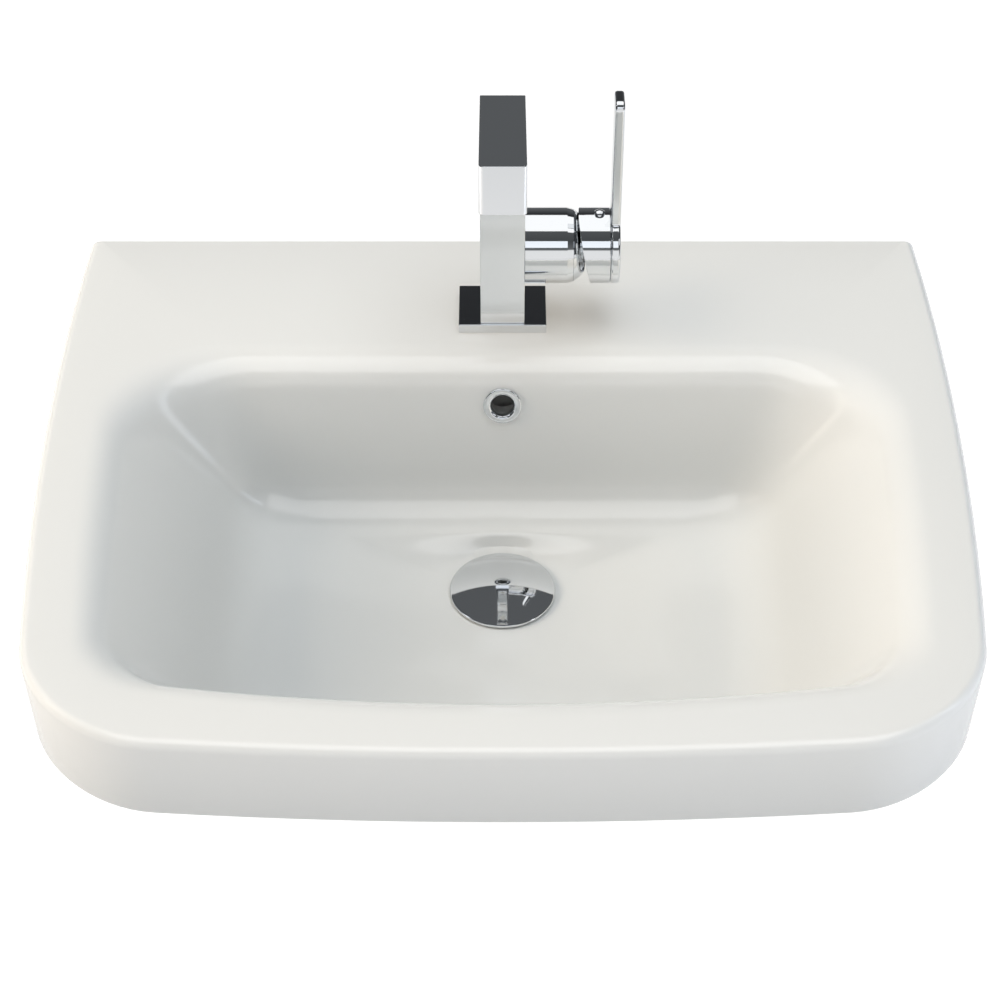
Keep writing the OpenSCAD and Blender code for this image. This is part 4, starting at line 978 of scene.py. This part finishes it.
class WasteOperator(bpy.types.Operator):
    """Turns the waste with its thread and slots, and the seal, washer and nut that hold it"""
    bl_idname = "washbasin.waste"
    bl_label = "Waste"

    def execute(self, context):
        b, w, _ = sizes()
        place = (0, -w.reach, b.rim)
        boss = -b.boss_foot
        seal_foot = boss - w.seal
        washer_foot = seal_foot - w.washer
        outer, inner = w.seal_wide / 2, w.tube / 2 + FIT

        waste = place_piece(self.waste(b, w), place)
        finish_piece(waste, "waste_with_thread", "fixed", "chrome_plate")
        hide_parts("waste_body")

        seal = place_piece(self.seal(outer, inner, boss, seal_foot), place)
        finish_piece(seal, "waste_lower_cone_seal", "fixed", "rubber")
        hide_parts("waste_lower_seal")

        washer = place_piece(self.washer(outer, inner, seal_foot, washer_foot), place)
        finish_piece(washer, "waste_flat_washer", "fixed", "steel")
        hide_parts("waste_washer")

        nut = hexagon_nut(w.nut_flats, w.nut, inner)
        place_piece(nut, (0, -w.reach, b.rim + washer_foot - w.nut))
        finish_piece(nut, "waste_backnut_hexagon", "fixed", "brass")
        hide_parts("waste_backnut")
        return {"FINISHED"}

    def waste(self, b, w):
        """The flange and the tube, with the hub that holds the plug and the overflow's slots."""
        top = -(b.floor + b.fall - w.flange_proud)
        piece = turned(self.tube_profile(w, top, -b.boss_foot), 96, loop=True)
        join(piece, self.hub(w, top - w.hub_set))
        slot_top = top - w.slot_set
        for degrees in (45, 135):
            slot = block((-w.tube, -w.slot_wide / 2, slot_top - w.slot_high),
                         (w.tube, w.slot_wide / 2, slot_top))
            cut(piece, place_piece(slot, turn=(0, 0, math.radians(degrees))))
        return piece

    @staticmethod
    def tube_profile(w, top, boss):
        """The flange, and the tube with the two threads and the relief between them."""
        foot, tail = top - w.flange_thick, top - w.tall
        bore, tube, flange = w.tube_bore / 2, w.tube / 2, w.flange / 2
        root, relief_foot = tube - w.thread_deep, tail + w.tail
        relief_top = relief_foot + w.relief
        profile = [(bore, tail), (bore, top - 3 * MM), (bore + 1 * MM, top - 1.2 * MM),
                   (bore + 3 * MM, top), (flange - 1.2 * MM, top), (flange - 0.35 * MM, top - 0.35 * MM),
                   (flange, top - 1.2 * MM), (flange, foot), (tube, foot), (tube, boss + 6 * MM)]
        profile += threaded(tube, boss + 5 * MM, relief_top + 0.4 * MM, w.pitch, w.thread_deep)
        profile += [(root, relief_top), (root, relief_foot)]
        profile += threaded(tube, relief_foot - 0.4 * MM, tail + 2 * MM, w.pitch, w.thread_deep)
        return profile + [(tube, tail + 1 * MM), (tube - 0.6 * MM, tail)]

    @staticmethod
    def hub(w, top):
        """The ring round the plug's mechanism, on its three spokes."""
        foot, sunk = top - w.hub_high, 0.1 * MM
        radius = w.mechanism / 2
        inner, outer = radius + FIT, radius + w.hub_wall
        hub = turned([(inner, foot), (inner, top), (outer, top), (outer, foot)], 64, loop=True)
        for degrees in (30, 150, 270):
            spoke = block((radius + 1 * MM, -w.spoke / 2, foot + sunk),
                          ((w.tube_bore + w.tube) / 4, w.spoke / 2, top - sunk))
            join(hub, place_piece(spoke, turn=(0, 0, math.radians(degrees))))
        return hub

    @staticmethod
    def seal(outer, inner, top, foot):
        """The rubber ring under the boss, with a cone towards it and a rounded foot."""
        edge = 1.0 * MM
        return turned([(inner, foot), (inner, top), (outer - 2.5 * MM, top),
                       (outer - 0.5 * MM, top - 1.4 * MM), (outer, top - 2.6 * MM),
                       (outer, foot + edge), (outer - edge * 0.3, foot + edge * 0.3),
                       (outer - edge, foot)], 80, loop=True)

    @staticmethod
    def washer(outer, inner, top, foot):
        edge = 0.3 * MM
        return turned([(inner, foot), (inner, top), (outer - edge, top), (outer, top - edge),
                       (outer, foot + edge), (outer - edge, foot)], 80, loop=True)


class PlugOperator(bpy.types.Operator):
    """Turns the domed cap of the push plug"""
    bl_idname = "washbasin.plug"
    bl_label = "Plug cap"

    def execute(self, context):
        b, w, _ = sizes()
        cap = place_piece(turned(self.cap_profile(b, w), 128), (0, -w.reach, b.rim))
        finish_piece(cap, "plug_dome_cap", "plug", "chrome_plate", smooth=32)
        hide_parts("plug_cap")
        return {"FINISHED"}

    @staticmethod
    def cap_profile(b, w):
        """The socket for the stem, the rim, and the dome with its rounded shoulder."""
        rim_foot = -(b.floor + b.fall - w.plug_clear)
        inner = rim_foot + w.plug_rim
        radius, edge = w.plug / 2, 0.5 * MM
        stem, socket = w.stem / 2 + FIT, w.stem / 2 + w.socket_wall
        socket_foot, lip = inner - w.socket_deep, radius - w.plug_wall
        profile = [(stem * 0.02, inner), (stem, inner), (stem, socket_foot), (socket, socket_foot),
                   (socket, inner), (lip, inner), (lip, rim_foot),
                   (radius - edge, rim_foot), (radius, rim_foot + edge)]
        sphere = (radius ** 2 + w.dome ** 2) / (2 * w.dome)
        middle = inner + w.dome - sphere
        turn_start = 0.94 * math.asin(radius / sphere)
        low = inner - 0.35 * MM
        high = middle + sphere * math.cos(turn_start)
        reach = sphere * math.sin(turn_start)
        for a in (math.pi / 2 * i / 6 for i in range(6)):
            profile.append((mix(reach, radius, math.cos(a)), mix(low, high - 0.1 * MM, math.sin(a))))
        for a in (turn_start * (1 - i / 24) for i in range(24)):
            profile.append((sphere * math.sin(a), middle + sphere * math.cos(a)))
        return profile + [(POLE, inner + w.dome)]


def on_axis(piece):
    """Lays a piece that was turned upright along the cartridge's axis, towards the lever."""
    b, _, t = sizes()
    return place_piece(piece, (0, -t.reach, b.rim + t.axis), (0, math.pi / 2, 0))


class TapBodyOperator(bpy.types.Operator):
    """Draws the column and spout from their side view, joins the housing and adds plate and outlet"""
    bl_idname = "washbasin.tap_body"
    bl_label = "Tap body"

    def execute(self, context):
        b, _, t = sizes()
        place = (0, -t.reach, b.rim)
        piece = self.column_and_spout(t)
        join(piece, self.housing(t))
        join(piece, rod(t.shank / 2, -t.shank_deep, t.plate_thick + OVERLAP, place))
        self.cut_hollows(piece, b, t)
        finish_piece(piece, "tap_column_and_spout", "fixed", "chrome_plate")
        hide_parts("tap_body")

        plate = block((-t.plate_wide / 2, -t.reach - t.plate_deep / 2, b.rim),
                      (t.plate_wide / 2, -t.reach + t.plate_deep / 2, b.rim + t.plate_thick))
        rounded(plate, 0.5 * MM, 3)
        cut(plate, rod(t.shank / 2 + FIT, -OVERLAP, t.plate_thick + OVERLAP, place))
        finish_piece(plate, "tap_square_plate", "fixed", "chrome_plate")
        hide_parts("tap_base_plate")

        sleeve = self.outlet_sleeve(t)
        sleeve.data.transform(self.outlet_frame(b, t))
        finish_piece(sleeve, "outlet_sleeve", "fixed", "chrome_plate")
        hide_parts("aerator_housing")
        return {"FINISHED"}

    @staticmethod
    def column_back(t):
        return t.reach + t.plate_deep / 2 - t.column_set - t.column_deep

    def column_and_spout(self, t):
        """The side view extruded, with its edges eased and the spout's end rounded."""
        rise = t.spout_rise
        back = self.column_back(t)
        front = back + t.column_deep
        top_end = (back + t.spout_long * math.cos(rise), t.column_high + t.spout_long * math.sin(rise))
        under_end = (top_end[0] + t.spout_thick * math.sin(rise),
                     top_end[1] - t.spout_thick * math.cos(rise))
        inner = under_end[1] - (under_end[0] - front) * math.tan(rise)
        piece = across([(back, t.plate_thick), (back, t.column_high), top_end, under_end,
                        (front, inner), (front, t.plate_thick)], t.column_wide)

        def upright_at_end(p, q):
            return max(p.y, q.y) < 1 * MM - top_end[0] and abs(p.x - q.x) < MM

        rounded_edges(piece, t.spout_corner, 8, upright_at_end)
        return rounded(piece, 0.5 * MM, 2, 25)

    @staticmethod
    def housing(t):
        """The round housing of the cartridge, with a chamfer at its end."""
        r, end = t.housing / 2, t.housing_end
        chamfer = end - t.chamfer
        return on_axis(turned([(r, t.column_wide / 2), (r, chamfer - 0.25 * MM), (r - 0.05 * MM, chamfer),
                               (r - 1.05 * MM, end - 0.3 * MM), (r - 1.4 * MM, end)], 128))

    def cut_hollows(self, piece, b, t):
        """Cuts the cartridge's chamber, the outlet, the two inlets and the hole for the stud."""
        chamber = [(t.chamber / 2, t.chamber_floor), (t.chamber / 2, t.housing_end + OVERLAP)]
        cut(piece, on_axis(turned(chamber)))
        outlet = rod(t.outlet / 2 + FIT, -OVERLAP, t.outlet_deep)
        outlet.data.transform(self.outlet_frame(b, t))
        cut(piece, outlet)
        foot = -t.shank_deep - OVERLAP
        for side in (-1, 1):
            place = (-t.inlet_set, -t.reach + side * t.inlet_apart / 2, b.rim)
            cut(piece, rod(t.inlet / 2, foot, t.inlet_top, place, sides=48))
        cut(piece, rod(t.stud / 2 + FIT, foot, t.stud_grip - t.shank_deep,
                       (t.stud_set, -t.reach, b.rim), sides=48))

    @staticmethod
    def outlet_sleeve(t):
        r, foot, top = t.outlet / 2, -t.outlet_proud, t.outlet_deep - 2 * MM
        bore, lip, edge = r - t.outlet_wall, 1 * MM, 0.5 * MM
        return turned([(bore - lip, foot), (r - edge, foot), (r, foot + edge), (r, top),
                       (bore, top), (bore, foot + lip), (bore - lip, foot + lip)], 80, loop=True)

    def outlet_frame(self, b, t):
        """From a piece made upright at the origin to the outlet under the spout."""
        tilt = Matrix.Rotation(-t.spout_rise, 4, "X")
        spout = Matrix.Translation((0, -self.column_back(t), b.rim + t.column_high)) @ tilt
        return spout @ Matrix.Translation((0, t.outlet_set - t.spout_long, -t.spout_thick))


def open_disc(radius, half_gap, steps):
    """Points round a disc whose outline is open to the left, over twice half_gap."""
    start = math.asin(half_gap / radius)
    turns = [-math.pi + start + (2 * math.pi - 2 * start) * i / steps for i in range(steps + 1)]
    return [(radius * math.cos(a), radius * math.sin(a)) for a in turns]


class FixingOperator(bpy.types.Operator):
    """Makes the stud, nut, horseshoe washer and gasket that hold the tap from below"""
    bl_idname = "washbasin.fixing"
    bl_label = "Tap fixing"

    def execute(self, context):
        b, _, t = sizes()
        stud = place_piece(self.stud(t), (t.stud_set, -t.reach, b.rim))
        finish_piece(stud, "fixing_stud_threaded", "fixed", "brass")
        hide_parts("fixing_stud")

        gasket_foot = -b.deck_wall - t.shoe_gasket
        washer_foot = gasket_foot - t.shoe_washer
        nut = hexagon_nut(t.stud_nut, t.stud_nut_high, t.stud / 2 + FIT)
        place_piece(nut, (t.stud_set, -t.reach, b.rim + washer_foot - t.stud_nut_high))
        finish_piece(nut, "fixing_nut_hexagon", "fixed", "brass")
        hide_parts("fixing_nut")

        for name, node, slot, foot, thickness_or_shade in (
                ("horseshoe_soft_gasket", "horseshoe_gasket", "rubber", gasket_foot, t.shoe_gasket),
                ("horseshoe_steel_washer", "horseshoe_washer", "steel", washer_foot, t.shoe_washer)):
            shoe = place_piece(self.horseshoe(t, thickness_or_shade), (0, -t.reach, b.rim + foot))
            finish_piece(shoe, name, "fixed", slot)
            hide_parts(node)
        return {"FINISHED"}

    @staticmethod
    def stud(t):
        """The stud with its thread, from its place in the shank down."""
        r, deep = t.stud / 2, t.stud_thread
        top = t.stud_grip - t.shank_deep
        foot = top - t.stud_long
        points = [(r - deep, top), (r, top - deep)]
        points += threaded(r, top - 2 * deep, foot + 1.0 * MM, t.stud_pitch, deep)
        return turned(points + [(r - deep, foot)], 40)

    @staticmethod
    def horseshoe(t, thickness_or_shade):
        """A disc open to the left for the hoses, with rounded ends and edges, and the stud's hole."""
        half = t.shoe_slot / 2
        points = open_disc(t.shoe / 2, half, 60) + [(t.shoe_slot_end, half), (t.shoe_slot_end, -half)]
        shoe = rounded(drawn(points, thickness_or_shade), 0.4 * MM, 2, 40)
        hole = rod(t.stud / 2 + FIT, -OVERLAP, thickness_or_shade + OVERLAP, (t.stud_set, 0, 0), sides=48)
        return cut(shoe, hole)


class HandleOperator(bpy.types.Operator):
    """Turns the dome ring and the slanted cap, and draws the flat lever and the index button"""
    bl_idname = "washbasin.handle"
    bl_label = "Handle"

    def execute(self, context):
        b, _, t = sizes()
        dome = on_axis(turned(self.dome_profile(t), 112, loop=True))
        finish_piece(dome, "dome_trim_ring", "fixed", "chrome_plate", smooth=35)
        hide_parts("dome_ring")

        cap = on_axis(self.slanted_cap(t))
        finish_piece(cap, "handle_slanted_cap", "handle", "chrome_plate", smooth=35)
        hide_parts("handle_cap")

        lever = on_axis(place_piece(self.flat_lever(t), (0, 0, t.cap_end)))
        finish_piece(lever, "handle_flat_lever", "handle", "chrome_plate", smooth=35)
        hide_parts("handle_lever")

        button = turned(self.button_profile(t), 56)
        place_piece(button, (t.button_at, -t.reach, b.rim + t.axis))
        finish_piece(button, "index_button_dome", "handle", "chrome_plate", smooth=40)
        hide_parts("index_button")
        return {"FINISHED"}

    @staticmethod
    def dome_profile(t):
        """A ring whose face is part of a ball about the pivot, so that the cap clears it."""
        bore, outer, edge = t.dome_bore / 2, t.chamber / 2 - FIT, 0.3 * MM
        profile = [(bore, t.dome_start), (outer, t.dome_start), (outer, t.housing_end)]
        for x in (mix(t.housing_end, t.dome_end - edge, i / 16) for i in range(17)):
            profile.append((math.sqrt(t.dome ** 2 - (x - t.pivot) ** 2), x))
        end = math.sqrt(t.dome ** 2 - (t.dome_end - t.pivot) ** 2)
        return profile + [(end - edge, t.dome_end), (bore, t.dome_end)]

    def slanted_cap(self, t):
        """A cup with its edge cut on a slant, the hub inside it and the holes through it."""
        r, face = t.housing / 2, t.cap_end - t.cap_face
        bore = r - t.cap_wall
        cap = turned([(r, t.cap_start - 2 * MM), (r, t.cap_end - 0.4 * MM),
                      (r - 0.1 * MM, t.cap_end - 0.1 * MM), (r - 0.4 * MM, t.cap_end),
                      (0.2 * MM, t.cap_end)], 128)
        cut(cap, rod(bore, t.cap_start - 4 * MM, face, sides=96))
        past_edge = block((-4 * r, -2 * r, -4 * r), (8 * r, 2 * r, 0))
        place_piece(past_edge, turn=(0, -math.atan(t.cap_slant / t.housing), 0))
        cut(cap, place_piece(past_edge, (-r, 0, t.cap_start)))
        rounded(cap, 0.35 * MM, 2, 50)
        join(cap, turned([(t.hub / 2, t.hub_start), (t.hub / 2, t.cap_end - 0.5 * MM)], 64))
        cut(cap, rod(t.spindle / 2 + FIT, t.hub_start - OVERLAP, t.spindle_end, sides=48))
        cut(cap, rod(t.button / 2 + FIT, bore - t.button_deep, 2 * r,
                     (0, 0, t.button_at), (0, -math.pi / 2, 0), sides=64))
        return self.cut_screw_holes(cap, t, face - OVERLAP, t.cap_end + OVERLAP)

    def flat_lever(self, t):
        """A flat bar with a round foot on the cap and rounded corners at its tip."""
        tip, half, corner = t.lever_top - t.axis, t.lever_wide / 2, t.lever_tip
        points = open_disc(t.housing / 2, half, 72)
        turns = [math.pi / 2 * i / 8 for i in range(9)]
        for side in (1, -1):
            points += [(corner * (1 - math.sin(a)) - tip, side * (half - corner * (1 - math.cos(a))))
                       for a in turns[::side]]
        lever = rounded(drawn(points, t.lever_thick), t.lever_edge, 5, 50)
        return self.cut_screw_holes(lever, t, -OVERLAP, t.lever_thick - t.screw_cover)

    @staticmethod
    def cut_screw_holes(piece, t, low, high):
        """Cuts the two holes for the screws that hold the lever to the cap."""
        for side in (-1, 1):
            place = (t.screw_set, side * t.screw_apart / 2, 0)
            cut(piece, rod(t.screw / 2, low, high, place, sides=32))
        return piece

    @staticmethod
    def button_profile(t):
        """A small stud in the cap's wall, with a crowned top."""
        r, top, edge = t.button / 2, t.housing / 2 + t.button_proud, 0.2 * MM
        seat = t.housing / 2 - t.cap_wall - t.button_deep
        sphere = (r * r + t.button_crown ** 2) / (2 * t.button_crown)
        profile = [(r - edge, seat), (r, seat + edge), (r, top - t.button_crown)]
        profile += [(sphere * math.sin(a), top - sphere * (1 - math.cos(a)))
                    for a in (math.asin(r / sphere) * (1 - i / 9) for i in range(9))]
        return profile + [(POLE, top)]


class InnerPiecesOperator(bpy.types.Operator):
    """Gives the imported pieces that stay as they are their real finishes"""
    bl_idname = "washbasin.inner_pieces"
    bl_label = "Inner pieces"

    def execute(self, context):
        slots = {part["node"]: part["material_slot"] for part in frame["record"]["subparts"]}
        for name, node in frame["nodes"].items():
            if node.hide_render:
                continue
            for material_slot in node.material_slots:
                material_slot.material = finish_named(slots[name])
        return {"FINISHED"}


def soft_box(name, place, size, radiance, hex_colour, mirrored=False):
    """A soft box aimed at the basin, with the radiance of its face: it lights, or is only mirrored."""
    start_piece()
    direction = LAMP_AIM - Vector(place)
    bpy.ops.object.light_add(type="AREA", location=place,
                             rotation=direction.to_track_quat("-Z", "Y").to_euler())
    lamp = bpy.context.object
    lamp.name = name
    lamp.data.shape = "RECTANGLE"
    lamp.data.size, lamp.data.size_y = size
    lamp.data.energy = radiance * math.pi * size[0] * size[1]
    lamp.data.color = linear(hex_colour)[:3]
    lamp.visible_glossy = mirrored
    lamp.visible_diffuse = not mirrored
    return lamp


def linked(lamp, names, state):
    """A collection that includes or excludes the named pieces for a lamp."""
    chosen = bpy.data.collections.new(lamp.name + "_linking")
    for name in names:
        chosen.objects.link(bpy.data.objects[name])
    for member in chosen.collection_objects:
        member.light_linking.link_state = state
    return chosen


def either(tree, *shares):
    """The greatest of several kinds of ray, each 0 or 1, or a share of one."""
    found = shares[0]
    for share in shares[1:]:
        found = add_node(tree, "ShaderNodeMath", {0: found, 1: share}, operation="MAXIMUM").outputs[0]
    return found


class StageOperator(bpy.types.Operator):
    """Adds the pale floor, the soft studio light and the camera"""
    bl_idname = "washbasin.stage"
    bl_label = "Stage"

    def execute(self, context):
        scene = context.scene
        scene.view_settings.view_transform = "Standard"
        self.lay_floor(scene.washbasin_colours)
        self.light_world(scene)
        self.light_pieces()
        self.mirror_boxes()
        self.set_camera(scene)
        return {"FINISHED"}

    @staticmethod
    def lay_floor(colours):
        """A pale floor with a glow that gives no light, and that brightens away from the basin."""
        start_piece()
        bpy.ops.mesh.primitive_plane_add(size=FLOOR_SIZE, location=(0, 0, FLOOR_HEIGHT))
        floor = bpy.context.object
        floor.name = "studio_floor"
        material, tree, place = new_material("studio_floor_paint")
        away = add_node(tree, "ShaderNodeVectorMath", {0: place}, operation="LENGTH").outputs["Value"]
        level = add_node(tree, "ShaderNodeMapRange", {"Value": away, "From Min": 1.2, "From Max": 4.5,
                                                      "To Min": 0.6, "To Max": 1.0})
        ray = add_node(tree, "ShaderNodeLightPath").outputs
        mirrored = add_node(tree, "ShaderNodeMath", {0: ray["Is Glossy Ray"], 1: MIRRORED_GLOW},
                            operation="MULTIPLY").outputs[0]
        seen = either(tree, ray["Is Camera Ray"], ray["Is Transmission Ray"], mirrored)
        lift = add_node(tree, "ShaderNodeMath", {0: seen, 1: level.outputs[0]},
                        operation="MULTIPLY")
        paint = add_node(tree, "ShaderNodeBsdfDiffuse", {"Color": tuple(colours.floor) + (1.0,)})
        glow = add_node(tree, "ShaderNodeEmission", {"Strength": lift.outputs[0]})
        close_material(tree, add_node(tree, "ShaderNodeAddShader",
                                      {0: paint.outputs[0], 1: glow.outputs[0]}))
        floor.data.materials.append(material)

    @staticmethod
    def set_camera(scene):
        start_piece()
        bpy.ops.object.camera_add(location=CAMERA_PLACE, rotation=(math.radians(CAMERA_PITCH), 0, 0))
        camera = bpy.context.object
        camera.name = "photo_camera"
        camera.data.sensor_width = CAMERA_SENSOR
        camera.data.lens = CAMERA_LENS
        scene.camera = camera

    @staticmethod
    def light_pieces():
        """Soft boxes all round: warm from the left, cool from behind and from the right."""
        soft_box("top_fill", (0.3, -0.05, 2.9), (3.4, 2.1), 2.6, "F8FCFF")
        soft_box("front_fill", (0, -3.05, 0.95), (3.6, 2.4), 0.8, "F7F8FB")
        soft_box("front_low_fill", (0, -3.2, -0.3), (3.6, 0.8), 0.7, "FCFCFC")
        soft_box("front_right_fill", (2.26, -2.46, -0.25), (2.2, 0.9), 3.2, "FAFCFF")
        key = soft_box("left_key", (-4.5, -0.2, 2.7), (3.6, 2.0), 7.6, "FFF0DC")
        key.light_linking.blocker_collection = linked(key, TAP_PIECES, "EXCLUDE")
        soft_box("left_low_fill", (-3.2, -0.2, -0.25), (2.2, 0.9), 4.1, "FCFCFC")
        soft_box("right_low_fill", (3.2, -0.2, -0.25), (2.2, 0.9), 5.0, "E6EEFF")
        soft_box("behind_left_fill", (-1.93, 2.1, 1.19), (2.2, 1.0), 1.2, "D4EAFF")

    @staticmethod
    def mirror_boxes():
        """Soft boxes that only show as reflections: the tap was lit apart from its ceramic."""
        basin = ("ceramic_basin",)
        for name, place, size, radiance, tone, pieces, state in (
                ("mirrored_overhead", (0, 0.5, 2.05), (3.2, 2.3), 1.1, "FFFFFF",
                 basin + ("plug_dome_cap",), "EXCLUDE"),
                ("mirrored_front", (0, -1.7, 1.38), (1.6, 0.7), 1.1, "F4F8FF", basin, "EXCLUDE"),
                ("mirrored_sheet", (0, -1.1, 2.33), (3.4, 2.2), 2.2, "FFFFFF", basin, "INCLUDE"),
                ("mirrored_tall_right", (2.2, -0.5, 1.2), (0.4, 2.2), 2.6, "EAF2FF", basin, "INCLUDE"),
                ("mirrored_tall_left", (-2.2, -0.5, 1.2), (0.3, 2.2), 1.8, "FFF4E2", basin, "INCLUDE"),
                ("mirrored_window_left", (-1.6, -0.35, 1.65), (0.5, 0.5), 3.0, "F4F6FA", basin, "EXCLUDE"),
                ("mirrored_window_right", (1.8, -1.1, 1.25), (0.3, 0.8), 4.0, "F4F6FA", basin, "EXCLUDE")):
            lamp = soft_box(name, place, size, radiance, tone, mirrored=True)
            lamp.light_linking.receiver_collection = linked(lamp, pieces, state)

    @staticmethod
    def light_world(scene):
        """Even light from all round, white to the camera, and a banded studio in reflections."""
        world = bpy.data.worlds.new("studio_world")
        scene.world = world
        world.use_nodes = True
        tree = world.node_tree
        tree.nodes.clear()
        ray = add_node(tree, "ShaderNodeLightPath").outputs
        ambient = add_node(tree, "ShaderNodeBackground", {"Color": linear("F6FAFF"), "Strength": 0.2})
        white = add_node(tree, "ShaderNodeBackground", {"Strength": 1.0})
        white.inputs["Color"].default_value = (1, 1, 1, 1)
        way = add_node(tree, "ShaderNodeTexCoord").outputs["Generated"]
        x, y, z = add_node(tree, "ShaderNodeSeparateXYZ", {"Vector": way}).outputs
        turn = add_node(tree, "ShaderNodeMath", {0: y, 1: z}, operation="ARCTAN2")
        share = add_node(tree, "ShaderNodeMapRange", {"Value": turn.outputs[0],
                                                      "From Min": -math.pi, "From Max": math.pi})
        bands = add_node(tree, "ShaderNodeValToRGB", {"Fac": share.outputs[0]})
        StageOperator.fill_bands(bands.color_ramp)
        side = add_node(tree, "ShaderNodeMath", {0: x}, operation="ABSOLUTE")
        aside = add_node(tree, "ShaderNodeMapRange", {"Value": side.outputs[0],
                                                      "From Min": 0.55, "From Max": 0.85})
        room = add_node(tree, "ShaderNodeBackground", {"Color": bands.outputs["Color"]})
        dark = add_node(tree, "ShaderNodeBackground", {"Color": linear("3A3C3F")})
        banded = add_node(tree, "ShaderNodeMixShader",
                          {0: aside.outputs[0], 1: room.outputs[0], 2: dark.outputs[0]})
        shiny = add_node(tree, "ShaderNodeMixShader",
                         {0: ray["Is Glossy Ray"], 1: ambient.outputs[0], 2: banded.outputs[0]})
        shown = add_node(tree, "ShaderNodeMixShader",
                         {0: either(tree, ray["Is Camera Ray"], ray["Is Transmission Ray"]),
                          1: shiny.outputs[0], 2: white.outputs[0]})
        add_node(tree, "ShaderNodeOutputWorld", {"Surface": shown.outputs[0]})

    @staticmethod
    def fill_bands(ramp):
        """Brightness by the angle from overhead in degrees: -90 is in front and 90 is behind."""
        bands = ((-180, "F6F6F6"), (-72, "F6F6F6"), (-69, "6A6C6E"), (-42, "4A4C4E"),
                 (0, "5C5E60"), (44, "5A5C5E"), (52, "2C2D2F"), (80, "5C5E60"), (180, "5C5E60"))
        while len(ramp.elements) < len(bands):
            ramp.elements.new(0.5)
        for element, (degrees, tone) in zip(ramp.elements, bands):
            element.position = (degrees + 180) / 360
            element.color = linear(tone)


OPERATORS = (BasinOperator, OverflowOperator, WasteOperator, PlugOperator, TapBodyOperator,
             FixingOperator, HandleOperator, InnerPiecesOperator, StageOperator)


class WashbasinPanel(bpy.types.Panel):
    """Lists the steps that make the washbasin"""
    bl_idname = "VIEW3D_PT_washbasin"
    bl_label = "Washbasin"
    bl_space_type = "VIEW_3D"
    bl_region_type = "UI"
    bl_category = "Washbasin"

    def draw(self, context):
        for operator in OPERATORS:
            self.layout.operator(operator.bl_idname)


GROUPS = {
    "washbasin_basin": BasinSizes,
    "washbasin_waste": WasteSizes,
    "washbasin_tap": TapSizes,
    "washbasin_colours": FinishColours,
}


def register():
    for group in GROUPS.values():
        bpy.utils.register_class(group)
    for name, group in GROUPS.items():
        setattr(bpy.types.Scene, name, bpy.props.PointerProperty(type=group))
    for operator in OPERATORS:
        bpy.utils.register_class(operator)
    bpy.utils.register_class(WashbasinPanel)


def unregister():
    bpy.utils.unregister_class(WashbasinPanel)
    for operator in reversed(OPERATORS):
        bpy.utils.unregister_class(operator)
    for name, group in GROUPS.items():
        delattr(bpy.types.Scene, name)
        bpy.utils.unregister_class(group)


def main():
    register()
    for operator in OPERATORS:
        group, name = operator.bl_idname.split(".")
        getattr(getattr(bpy.ops, group), name)()


if __name__ == "__main__":
    main()
